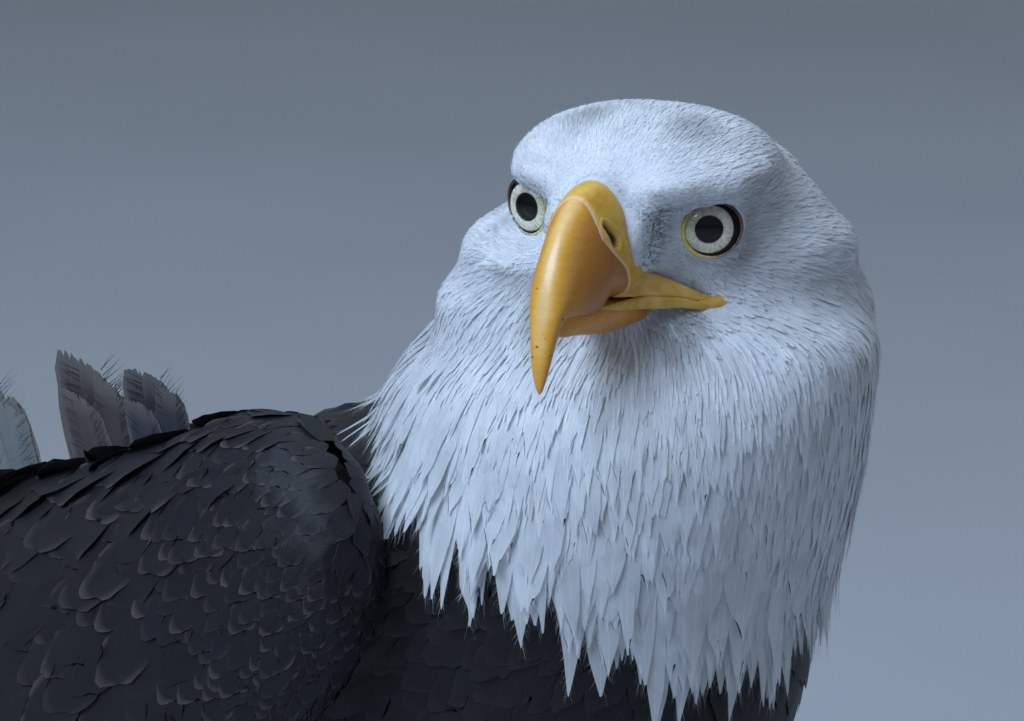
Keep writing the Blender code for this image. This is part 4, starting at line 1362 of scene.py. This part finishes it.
def horn_material():
    """Yellow horn: a painted highlight along the ridge, painted shade down the sides and underneath, growth
    lines and a few dark flecks.
    """
    made, tree, shader = new_material(
        "bill horn", Roughness=0.34, Coat_Weight=0.25, Coat_Roughness=0.22,
        Subsurface_Weight=0.12, Subsurface_Radius=(0.004, 0.002, 0.0006), Subsurface_Scale=0.5,
    )
    down = attribute(tree, "down")
    mottle = noise(tree, 6.0, 4.0)
    depth = math_node(tree, "ADD", down, math_node(tree, "MULTIPLY", mottle, 0.22))
    # down runs from a painted highlight on the ridge (low values) to painted shade on the sides and
    # underneath (high values)
    tones = ((0.05, "#EAC27E"), (0.24, "#E0A238"), (0.58, "#CC8424"), (0.95, "#AE6A1C"))
    tone = ramp(tree, depth, tones)
    lines = noise(tree, 1.1, 3.0, vector=stretched(tree, (0.35, 0.35, 1.0)))
    lined = mix(tree, 1.0, tone, ramp(tree, lines, ((0.35, 0.90), (0.65, 1.0))), "MULTIPLY")
    fleck_place = noise(tree, 2.2, 1.0)
    tipward = attribute(tree, "tipward")
    fleck = math_node(tree, "MULTIPLY", ramp(tree, fleck_place, ((0.70, 0.0), (0.76, 1.0))), tipward)
    tree.links.new(mix(tree, fleck, lined, "#4A2C12"), shader.inputs["Base Color"])
    bump(tree, shader, lines, 0.10, 0.5)
    return made


def stretched(tree, scale):
    made = node(tree, "ShaderNodeMapping", {"Vector": object_coords(tree), "Scale": scale})
    return made.outputs[0]


YELLOW_SKIN_DEPTH = {
    "Subsurface_Weight": 0.15, "Subsurface_Radius": (0.004, 0.0025, 0.0008), "Subsurface_Scale": 0.5
}


def cere_material():
    """Waxy yellow skin, pinkish on its rim, and near black in the nostril: dark red skin under painted shade
    of the opening.
    """
    made, tree, shader = new_material(
        "cere", Roughness=0.42, Coat_Weight=0.12, Coat_Roughness=0.3, **YELLOW_SKIN_DEPTH
    )
    rim = attribute(tree, "rim")
    nostril_shade = attribute(tree, "nostril_shade")
    mottle = noise(tree, 5.0, 4.0)
    tone = ramp(tree, mottle, ((0.30, "#CA9326"), (0.50, "#D8A632"), (0.72, "#E0B84C")))
    rimmed = mix(tree, rim, tone, "#E7B98C")
    # The nostril's pit is painted near black: painted shade of its depth over dark red skin.
    holed = mix(tree, nostril_shade, rimmed, "#240A06")
    tree.links.new(holed, shader.inputs["Base Color"])
    pores = noise(tree, 0.7, 2.0)
    bump(tree, shader, pores, 0.12, 0.45)
    return made


def lip_material():
    made, tree, shader = new_material(
        "yellow lip skin", Roughness=0.45, Coat_Weight=0.1, Coat_Roughness=0.3, **YELLOW_SKIN_DEPTH
    )
    tone = ramp(tree, noise(tree, 4.0, 4.0), ((0.30, "#CA9330"), (0.52, "#D8A94A"), (0.75, "#DEB97C")))
    tree.links.new(tone, shader.inputs["Base Color"])
    bump(tree, shader, noise(tree, 0.9, 2.0, vector=stretched(tree, (1.0, 1.0, 0.4))), 0.15, 0.5)
    return made


def make_bill():
    horn, cere_look, lip = horn_material(), cere_material(), lip_material()

    def horn_place(turn, share):
        head = bill_surface(UPPER_BILL, turn, share)
        sunk = 4.4 * smoothstep(0.4, 3.6, behind_cere_edge(head))[:, None]
        return head_to_world(head - unit((head + (0, 0, 2)) * (0, 1, 1) + (1e-6, 0, 0)) * sunk)

    def lower_place(turn, share):
        return head_to_world(bill_surface(LOWER_BILL, turn, share))

    upper = rolled("bill_horn_upper", 96, 150, horn_place, horn)
    lower = rolled("bill_horn_lower", 72, 90, lower_place, horn)
    for piece in (upper, lower):
        head = world_to_head(points_of(piece.data))
        # Painted light stored in down: a painted highlight on the ridge, painted shade growing down the sides
        # and towards the lower rear
        ridge = smoothstep(0.5, 9.0, np.abs(head[:, 1])) * 0.52
        low = smoothstep(6, -24, head[:, 2] + (head[:, 0] - 40) * 1.15) * 0.42
        if piece is lower:
            # The lower bill is shaded evenly, with painted shade deepening underneath
            ridge, low = 0.30, 0.35 * smoothstep(-24, -32, head[:, 2])
        paint(piece, "down", np.clip(ridge + low, 0, 1))
        paint(piece, "tipward", smoothstep(50, 60, head[:, 0]))
    turns = np.linspace(0, 2 * math.pi, 721)
    ends = cere_end(turns)

    def cere_place(turn, share):
        stop = np.interp(turn, turns, ends)
        inner = share > 0.9
        run = np.where(inner, 1.0, share / 0.9)
        along = 0.02 + (stop - 0.02) * run
        head = bill_surface(UPPER_BILL, turn, along)
        out = unit(head - bill_heart(along))
        lip_in = np.where(inner, (share - 0.9) / 0.1, 0)
        thick = 0.55 * np.sqrt(np.clip((1 - run) * 14, 0, 1)) * (1 - lip_in) - 0.6 * lip_in
        thick = thick + 0.5 * np.exp(-(((head[:, 0] - 24) / 6) ** 2 + ((head[:, 2] - 7) / 6) ** 2))
        knob = np.exp(-(((head[:, 0] - 25.0) / 1.8) ** 2 + ((head[:, 2] + 4.6) / 2.6) ** 2))
        pit, off = nostril_depth(head)
        brim = np.exp(-(((off - 1.5) / 0.35) ** 2)) * (np.abs(head[:, 1]) > 3)
        return head_to_world(head + out * (thick + 0.7 * knob + 0.35 * brim - 2.4 * pit)[:, None])

    cere = rolled("cere_skin", 200, 110, cere_place, cere_look)
    head = world_to_head(points_of(cere.data))
    paint(cere, "rim", smoothstep(1.4, 0.3, behind_cere_edge(head)) * 0.85)
    # Painted shade in the nostril, darkest where its pit is deepest.
    paint(cere, "nostril_shade", smoothstep(0.20, 0.60, nostril_depth(head)[0]))
    lips = []
    for sign in SIDES.values():
        mirror = (1, sign, 1)
        for kind, sizes in LIPS.items():
            over = unit(np.array(LIP_LEAN[kind]))
            line = (np.array(MOUTH[kind]) + (np.array(sizes)[:, 1:] + LIP_GAP) * over) * mirror
            over = over * mirror
            lips.append(strip_tube(f"lip_{kind}", line, sizes, 24, 70, lip, over, head_to_world, 2.6))
        line, sizes = np.array(MOUTH_CORNER) * mirror, MOUTH_CORNER_SIZES
        lips.append(strip_tube("mouth_corner", line, sizes, 24, 40, lip, (0, 0, sign), head_to_world, 2.4))
    lips = joined("lips", lips)
    finish(upper, "bill_horn", "bill_upper")
    finish(lower, "bill_horn", "bill_lower")
    finish(cere, "yellow_skin", "cere")
    finish(lips, "yellow_skin")


# ---------------------------------------------------------------- eyes

# Profile of an eye from the middle of the pupil to the back: from its axis, along its axis
EYE_PROFILE = (
    (0.0, 6.0), (1.5, 6.0), (3.0, 6.2), (3.85, 7.2), (3.98, 8.6), (4.15, 9.15), (5.0, 9.35), (6.2, 9.35),
    (7.2, 9.15), (7.55, 9.1), (7.9, 9.25), (8.6, 8.6), (9.6, 7.4), (10.8, 5.2), (11.8, 2.0), (11.9, -1.5),
    (10.9, -5.0), (8.6, -8.4), (5.0, -10.9), (2.0, -11.8), (0.0, -12.0),
)
CORNEA_PROFILE = (
    (0.0, 12.2), (1.5, 12.12), (3.0, 11.85), (4.5, 11.35), (6.0, 10.6), (7.2, 9.75), (7.9, 9.15), (8.25, 8.6),
    (8.2, 7.6), (7.0, 7.2), (5.0, 7.0), (4.1, 6.4), (4.0, 5.0), (2.0, 4.8), (0.0, 4.8),
)


def eye_frame(side):
    """The middle of an eye, its axis, and two directions across it, as head points."""
    look = math.radians(EYE_LOOKS_OUT[side]) * SIDES[side]
    axis = np.array((math.cos(look), math.sin(look), 0.0))
    across = np.array((-math.sin(look), math.cos(look), 0.0))
    return ball_middle(side), axis, across, np.array((0.0, 0.0, 1.0))


def turned(name, side, profile, around, along, look):
    middle, axis, across, up = eye_frame(side)

    def place(turn, share):
        row = spline(profile, share)
        flat = np.cos(turn)[:, None] * up + np.sin(turn)[:, None] * across
        return head_to_world(middle + axis * row[:, 1:2] + flat * row[:, 0:1])

    return rolled(name, around, along, place, look)


def iris_material():
    """Pale iris with fine spokes and a dark rim, black pupil, and dark brown round it: the eye's dark skin
    with painted shade of the gap inside the lids.
    """
    made, tree, shader = new_material("iris and pupil", Roughness=0.45, Specular_IOR_Level=0.08)
    off = attribute(tree, "from_axis")
    spoke = attribute(tree, "spoke", "Vector")
    streaks = node(tree, "ShaderNodeTexNoise", {"Vector": spoke, "Scale": 9.0, "Detail": 3.0}).outputs["Fac"]
    pale = ramp(tree, streaks, ((0.30, "#A39C88"), (0.55, "#C6BFAA"), (0.75, "#D8D2C0")))
    share = math_node(tree, "DIVIDE", off, EYE_RADIUS)
    rings = ramp(tree, share, ((0.330, 0.0), (0.348, 0.8), (0.42, 1.0), (0.59, 1.0), (0.625, 0.0)))
    iris = mix(tree, rings, "#0B0908", pale)
    # Beyond the iris, near black brown: painted shade of the recess between the iris and the lids, over the
    # eye's dark skin.
    beyond = ramp(tree, share, ((0.645, 0.0), (0.70, 1.0)))
    tree.links.new(mix(tree, beyond, iris, "#1A110D"), shader.inputs["Base Color"])
    bump(tree, shader, streaks, 0.15, 0.4)
    return made


def cornea_material():
    made, tree, shader = new_material(
        "clear cornea", Base_Color=(1, 1, 1, 1), Roughness=0.02,
        Transmission_Weight=1.0, IOR=1.376, Specular_IOR_Level=0.3,
    )
    clear = node(tree, "ShaderNodeBsdfTransparent")
    lamps = node(tree, "ShaderNodeLightPath").outputs["Is Shadow Ray"]
    blend(tree, lamps, shader, clear)
    return made


# The rim of the lids, round from the top towards the outside of the head:
# from the axis, along the axis, half width
LID = (
    (8.0, 9.6, 0.6), (9.3, 8.6, 0.6), (10.2, 7.2, 0.6), (10.0, 7.0, 0.65), (9.0, 8.2, 0.75),
    (8.3, 8.9, 0.75), (7.9, 9.3, 0.7), (7.8, 9.6, 0.6), (8.0, 9.6, 0.6),
)


def lid_material():
    """Yellow rim skin, greenish in front, pinkish behind, and dark at the top with painted shade of the brow.
    """
    made, tree, shader = new_material(
        "eyelid rim", Roughness=0.4, Coat_Weight=0.2, Coat_Roughness=0.2,
        Subsurface_Weight=0.1, Subsurface_Radius=(0.003, 0.002, 0.0006), Subsurface_Scale=0.4,
    )
    place = attribute(tree, "round")
    # The dark stops at the start and end of the round, at the top, are painted shade under the brow.
    tones = (
        (0.03, "#2B1D12"), (0.16, "#33211A"), (0.34, "#8C6650"), (0.47, "#C9A574"),
        (0.62, "#CFC04A"), (0.80, "#B9AE3C"), (0.93, "#2B1D12"),
    )
    tone = ramp(tree, place, tones)
    mottled = mix(tree, 1.0, tone, ramp(tree, noise(tree, 1.2, 3.0), ((0.3, 0.78), (0.7, 1.0))), "MULTIPLY")
    tree.links.new(mottled, shader.inputs["Base Color"])
    bump(tree, shader, noise(tree, 0.5, 2.0), 0.1, 0.5)
    return made


def make_eyes():
    iris, cornea, lid_look = iris_material(), cornea_material(), lid_material()
    for side, sign in SIDES.items():
        eye = turned(f"eyeball_{side}", side, EYE_PROFILE, 64, 90, iris)
        middle, axis, across, up = eye_frame(side)
        away = world_to_head(points_of(eye.data)) - middle
        along = away @ axis
        flat = away - along[:, None] * axis
        off = np.linalg.norm(flat, axis=1)
        paint(eye, "from_axis", np.where(along > 0, off, EYE_RADIUS))
        spoke = eye.data.attributes.new("spoke", "FLOAT_VECTOR", "POINT")
        way = flat / np.maximum(off, 0.01)[:, None]
        spokes = np.stack((way @ up, way @ across, off * 0.06), axis=1)
        spoke.data.foreach_set("vector", spokes.astype(np.float32).ravel())
        finish(eye, "eye", f"eye_{side}")
        finish(turned(f"cornea_{side}", side, CORNEA_PROFILE, 48, 40, cornea), "eye")

        def rim(turn, share):
            row = spline(LID, share)
            angle = share * 2 * math.pi
            flat = np.cos(angle)[:, None] * up + np.sin(angle)[:, None] * across * sign
            centre = middle + axis * row[:, 1:2] + flat * row[:, 0:1]
            out = flat * np.cos(turn)[:, None] + axis * np.sin(turn)[:, None]
            return head_to_world(centre + out * row[:, 2:3])

        lid = rolled(f"eyelid_{side}", 16, 96, rim, lid_look)
        away = world_to_head(points_of(lid.data)) - middle
        angle = np.arctan2(away @ across * sign, away @ up) / (2 * math.pi)
        paint(lid, "round", angle % 1.0)
        finish(lid, "yellow_skin")


# ---------------------------------------------------------------- feet

LEG_SPREAD = 53.0
FOOT_FORWARD = 8.0
ANKLE = (-19.0, 106.0)
# heading in degrees (0 ahead, positive outwards), length, radius at the root and at the claw,
# length of the claw, radius of its root
TOE_SIZES = {
    "middle": (7.0, 74.0, 8.6, 6.2, 38.0, 5.4),
    "inner": (-32.0, 52.0, 8.8, 6.6, 41.0, 5.8),
    "outer": (47.0, 58.0, 8.0, 5.8, 33.0, 4.8),
    "hind": (176.0, 40.0, 8.8, 6.8, 43.0, 6.0),
}
# Pads and waists along a toe: share of its length, swelling, lift off the floor
TOE_JOINTS = (
    (0.0, 1.0, 1.5), (0.25, 1.06, 0.0), (0.42, 0.90, 0.0), (0.56, 1.04, 0.0),
    (0.72, 0.90, 0.0), (0.86, 1.06, 1.2), (1.0, 0.90, 6.2),
)
TARSUS_RADII = (8.6, 8.2, 8.4, 9.6, 11.5)
SCALE_SIZE = 2.2  # millimetres


def foot_material():
    """Yellow scaly skin: fine round scales at the sides, and painted shade in the creases between the plates.
    """
    made, tree, shader = new_material(
        "scaly yellow foot skin", Roughness=0.5, Coat_Weight=0.08, Coat_Roughness=0.35
    )
    crease_shade = attribute(tree, "crease_shade")
    sized = {"Vector": object_coords(tree), "Scale": 1 / (SCALE_SIZE * MM)}
    cells = node(tree, "ShaderNodeTexVoronoi", sized, feature="DISTANCE_TO_EDGE")
    edge = ramp(tree, cells.outputs["Distance"], ((0.0, 0.0), (0.12, 1.0)))
    tone = ramp(tree, noise(tree, 8.0, 4.0), ((0.3, "#D89A24"), (0.55, "#E7B02E"), (0.75, "#EDBE4C")))
    lined = mix(tree, edge, mix(tree, 0.35, tone, "#7A4F18"), tone)
    # Painted shade in the creases at the end of each plate.
    tree.links.new(mix(tree, crease_shade, lined, "#7C5420"), shader.inputs["Base Color"])
    bump(tree, shader, edge, 0.22, 0.6)
    return made


def claw_material():
    made, tree, shader = new_material("black claw horn", Roughness=0.22, Coat_Weight=0.3, Coat_Roughness=0.12)
    lines = noise(tree, 0.6, 3.0, vector=stretched(tree, (1, 1, 0.3)))
    tone = ramp(tree, noise(tree, 7.0, 3.0), ((0.3, "#0C0B0C"), (0.7, "#1D1A1A")))
    tree.links.new(tone, shader.inputs["Base Color"])
    bump(tree, shader, lines, 0.08, 0.4)
    return made


LIMB_END = 0.04  # share of a toe or shank that each rounded end takes
PLATE_STEP = 0.55  # millimetres that a plate stands over the next
SOLE_HEIGHT = 0.05


def scaled_limb(name, line, radii, plates, look, up):
    """A toe or shank with broad plates on the side that up names. Millimetres, body points."""
    line, radii, up = (np.asarray(x, float) for x in (line, radii, up))

    def body_share(share):
        return np.clip((share - LIMB_END) / (1 - 2 * LIMB_END), 0, 1)

    def ridges(turn, body):
        """How far each point is on the plates, and how near the groove that ends its plate."""
        return smoothstep(0.0, 0.55, np.cos(turn)), smoothstep(0.80, 1.0, (body * plates) % 1.0)

    def round_end(past):
        return np.sqrt(np.clip(1 - (past / LIMB_END) ** 2, 0, 1))

    def place(turn, share):
        body = body_share(share)
        centre = spline(line, body)
        ahead = unit(spline(line, np.minimum(body + 0.02, 1)) - spline(line, np.maximum(body - 0.02, 0)))
        over = unit(up - ahead * (ahead @ up)[:, None])
        out = np.cross(ahead, over)
        end = round_end(LIMB_END - np.minimum(share, LIMB_END))
        end = end * round_end(np.maximum(share, 1 - LIMB_END) - (1 - LIMB_END))
        radius = spline(radii[:, None], body)[:, 0]
        on_plates, groove = ridges(turn, body)
        step = PLATE_STEP * (1 - groove) * on_plates * end
        across = np.sin(turn) * radius * end + np.sin(turn) * step
        rise = np.cos(turn) * radius * end + np.cos(turn) * step
        points = centre + out * across[:, None] + over * rise[:, None]
        points[:, 2] = np.maximum(points[:, 2], SOLE_HEIGHT)
        return body_to_world(points)

    obj = rolled(name, 40, max(plates * 8, 60), place, look)
    on_plates, groove = ridges(painted(obj, "turn"), body_share(painted(obj, "share")))
    # Painted shade in the groove that ends each plate on the plated side.
    paint(obj, "crease_shade", on_plates * groove * 0.8)
    return obj


def make_feet():
    skin_look, claw_look = foot_material(), claw_material()
    for side, sign in SIDES.items():
        left = LEG_SPREAD * sign
        ankle = np.array((ANKLE[0], left, ANKLE[1]))
        heel = np.array((FOOT_FORWARD, left, 9.0))
        line = [ankle + (heel - ankle) * t for t in np.linspace(0, 1, 5)]
        shank = scaled_limb(f"shank_{side}", line, TARSUS_RADII, 14, skin_look, (1, 0, 0))
        finish(shank, "yellow_skin", f"tarsus_{side}")
        for name, (heading, length, root, end, claw_length, claw_root) in TOE_SIZES.items():
            angle = math.radians(heading) * sign
            ahead = np.array((math.cos(angle), math.sin(angle), 0.0))
            line, radii = [], []
            for share, swell, lift in TOE_JOINTS:
                radius = (root + (end - root) * share) * swell
                radii.append(radius)
                line.append(np.array((FOOT_FORWARD, left, radius * 0.86 + lift)) + ahead * length * share)
            toe = scaled_limb(f"foot_{side}_{name}", line, radii, int(length / 5), skin_look, (0, 0, 1))
            finish(toe, "yellow_skin", f"toe_{side}_{name}")
            make_talon(side, name, line, ahead, claw_length, claw_root, claw_look)


TALON_STEPS = 8
TALON_IN_TOE = 2.0  # millimetres of its root inside the toe
TALON_TIP_HEIGHT = 1.0


def make_talon(side, name, toe_line, ahead, length, root_radius, look):
    """A claw that bends down evenly, just as far as brings its tip near the floor."""
    along = unit(toe_line[-1] - toe_line[-2])
    bend = 0.0
    while True:
        line, way = [toe_line[-1] - along * TALON_IN_TOE], math.asin(along[2])
        for _ in range(TALON_STEPS):
            stride = ahead * math.cos(way) + np.array((0, 0, math.sin(way)))
            line.append(line[-1] + stride * (length + TALON_IN_TOE) / TALON_STEPS)
            way -= math.radians(bend) / (TALON_STEPS - 1)
        if line[-1][2] < TALON_TIP_HEIGHT:
            break
        bend += 1.0
    sizes = [(0.0, 0.0)]
    for i in range(TALON_STEPS):
        radius = root_radius * (1 - i / TALON_STEPS) ** 0.8
        sizes.append((radius * 0.92 + 0.2, radius * 1.08 + 0.25))
    sizes.append((0.0, 0.0))
    line = [line[0]] + line[:-1] + [line[-1]]
    talon = strip_tube(f"talon_{side}_{name}", line, sizes, 28, 60, look, (0, 0, 1), body_to_world)
    finish(talon, "black_horn", f"claw_{side}_{name}")


# ---------------------------------------------------------------- ruffled feathers behind the near shoulder

# root and tip as body points, half width, slant of the tip, colour, seed of its wear
RUFFLED = {
    "front": ((-24.0, -22.0, 300.0), (-41.0, -22.0, 376.0), 10.0, -0.60, "#2D2E37", 3),
    "middle": ((-48.0, -22.0, 292.0), (-69.0, -22.0, 375.0), 12.0, -0.85, "#3F3A3B", 4),
    "rear": ((-92.0, -20.0, 268.0), (-120.0, -20.0, 360.0), 12.5, -0.40, "#666B6D", 5),
}
ACROSS_RUFFLED = np.array((0.766, 0.643, 0.0))  # the way their vanes spread
# Overlapping layers of each: share of its width, shift across, share of its length
RUFFLED_LAYERS = ((1.0, 0.0, 1.0), (0.62, 5.0, 0.93), (0.55, -5.5, 0.88))


def make_ruffled_feathers(look):
    for name, (root, tip, half_width, slant, colour, seed) in RUFFLED.items():
        root, tip = np.array(root), np.array(tip)
        shares = np.linspace(0, 1, 18)
        face = unit(np.cross(ACROSS_RUFFLED, unit(tip - root)))
        outline = np.interp(shares, (0, 0.25, 0.5, 0.8, 0.95, 1.0), (0.55, 0.85, 1.0, 1.0, 0.92, 0.80))
        tint = np.array((linear(colour),))
        edge = tint * 0.7 + 0.3 * np.array(linear("#9A928A"))
        parts = []
        for layer, (wide, shift, short) in enumerate(RUFFLED_LAYERS):
            line = root + (tip - root) * shares[:, None] * short + ACROSS_RUFFLED * shift * shares[:, None]
            line = line + face * (2.0 * np.sin(shares * math.pi) + 0.7 * layer)[:, None]
            paths = body_to_world(line)[None]
            ups = np.broadcast_to(face @ BODY_AXES, paths.shape).copy()
            widths = np.array((half_width * 2 * wide,))
            tone = tint * (1.0 + 0.25 * layer)
            args = (paths[:, 0], paths, ups, widths, tone, outline)
            worn = {"jag": 0.045, "slant": slant, "soft": 0.3}
            parts.append(vane_set(*args, 31, 0.04, 0.25, 0.02, seed + layer, edge, 0.86, **worn))
            parts.append(barb_set(*args, 110, 0.3, seed + 10 + layer))
        foot = body_to_world(root)
        made = coat_piece(f"ruffled_feather_{name}", look, "flight_feather", parts, foot, BODY_AXES[2])
        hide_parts(f"raised_feather_{name}")


# ---------------------------------------------------------------- camera, light, floor

VIEW_TO_SIDE, VIEW_ABOVE = 23.9, 14.4  # degrees from the head's own forward direction
CAMERA_DISTANCE = 2.0
LENS, SENSOR_WIDTH = 232.2, 36.0  # millimetres
EYES_OFF_AXIS = (0.9663, 1.2958)  # degrees that the eyes stand to the right of the lens's axis, and above it


def level_frame(axis):
    """Right and up of a level camera that looks along the axis."""
    right = axis.cross(Vector((0, 0, 1))).normalized()
    return right, right.cross(axis)


def make_camera():
    """Adds the camera, and returns the directions to its right and along its view."""
    side, above = math.radians(VIEW_TO_SIDE), math.radians(VIEW_ABOVE)
    way = (math.cos(above) * math.cos(side), math.cos(above) * math.sin(side), math.sin(above))
    place = Vector(EYES_AT + np.array(way) @ HEAD_AXES * CAMERA_DISTANCE)
    to_eyes = (Vector(EYES_AT) - place).normalized()
    tan_x, tan_y = (math.tan(math.radians(angle)) for angle in EYES_OFF_AXIS)
    axis = to_eyes.copy()
    for _ in range(6):
        right, up = level_frame(axis)
        axis = (to_eyes - right * tan_x - up * tan_y).normalized()
    right, up = level_frame(axis)
    bpy.ops.object.camera_add()
    camera = bpy.context.object
    camera.name = "camera"
    camera.data.lens = LENS
    camera.data.sensor_width = SENSOR_WIDTH
    camera.data.clip_end = 100
    turn = Matrix((right, up, -axis)).transposed().to_4x4()
    turn.translation = place
    camera.matrix_world = turn
    bpy.context.scene.camera = camera
    return right, axis


# Each light's place from a point under the eyes, in metres: right, up, towards the camera;
# then its size, its power in watts and its colour
LIGHTS = {
    "key light": (-1.3, 1.5, 1.1, 1.5, 72, "#CBE2FF"),
    "fill light": (1.9, 0.5, 0.9, 1.6, 2.5, "#C6DAFF"),
    "top light": (0.0, 2.2, -0.7, 2.2, 18, "#DCEAFF"),
}
LIT_BELOW_EYES = 0.1  # metres


def area_light(name, place, target, size, power, colour):
    deselect()
    bpy.ops.object.light_add(type="AREA", location=place)
    light = bpy.context.object
    light.name = name
    light.data.shape = "RECTANGLE"
    light.data.size = light.data.size_y = size
    light.data.energy = power
    light.data.color = linear(colour)
    way = Vector(place) - Vector(target)
    light.rotation_euler = way.to_track_quat("Z", "Y").to_euler()


def make_studio(right, axis):
    """The floor, three lights and the pale surroundings."""
    bpy.ops.mesh.primitive_plane_add(size=60, location=(0, 0, 0))
    floor = bpy.context.object
    floor.name = "floor"
    look, tree, shader = new_material("pale floor", Roughness=0.85, Specular_IOR_Level=0.2)
    shade = ramp(tree, noise(tree, 400, 2.0), ((0.3, "#A9ADB2"), (0.7, "#AFB3B8")))
    tree.links.new(shade, shader.inputs["Base Color"])
    floor.data.materials.append(look)
    target = Vector(EYES_AT) - Vector((0, 0, LIT_BELOW_EYES))
    for name, (sideways, height, toward, size, power, colour) in LIGHTS.items():
        place = target + right * sideways + Vector((0, 0, height)) - axis * toward
        area_light(name, place, target, size, power, colour)
    world = bpy.data.worlds.new("studio")
    bpy.context.scene.world = world
    world.use_nodes = True
    background = world.node_tree.nodes["Background"]
    background.inputs["Color"].default_value = rgba("#C9D3E0")
    background.inputs["Strength"].default_value = 0.31
    bpy.context.scene.view_settings.view_transform = "Standard"


# ---------------------------------------------------------------- run

view_right, view_axis = make_camera()
white_vanes = feather_material("white feather", 0.62, 0.15, 0.35, 0.32, 0.02, 0.05, 0.46)
dark_vanes = feather_material("blackish brown feather", 0.50, 0.03, 0.26, 0.5, 0.02, 0.10, 0.0)
skin, regions = make_skin()
skin_tree = surface_tree(skin)
bill_tree = upper_bill_tree()
dress_skin(skin, regions)
make_head_feathers(skin, skin_tree, regions, bill_tree, white_vanes)
make_neck_feathers(skin, skin_tree, regions, white_vanes)
make_body_feathers(skin, skin_tree, regions, dark_vanes)
make_leg_feathers(skin, skin_tree, dark_vanes)
for side in SIDES:
    form = wing_surface(side)
    wing_tree = surface_tree(form)
    make_wing_coverts(side, form, wing_tree, dark_vanes)
    make_flight_feathers(side, wing_tree, dark_vanes)
    bpy.data.objects.remove(form)
make_tail_feathers(white_vanes)
make_ruffled_feathers(dark_vanes)
make_bill()
make_eyes()
make_feet()
make_studio(view_right, view_axis)
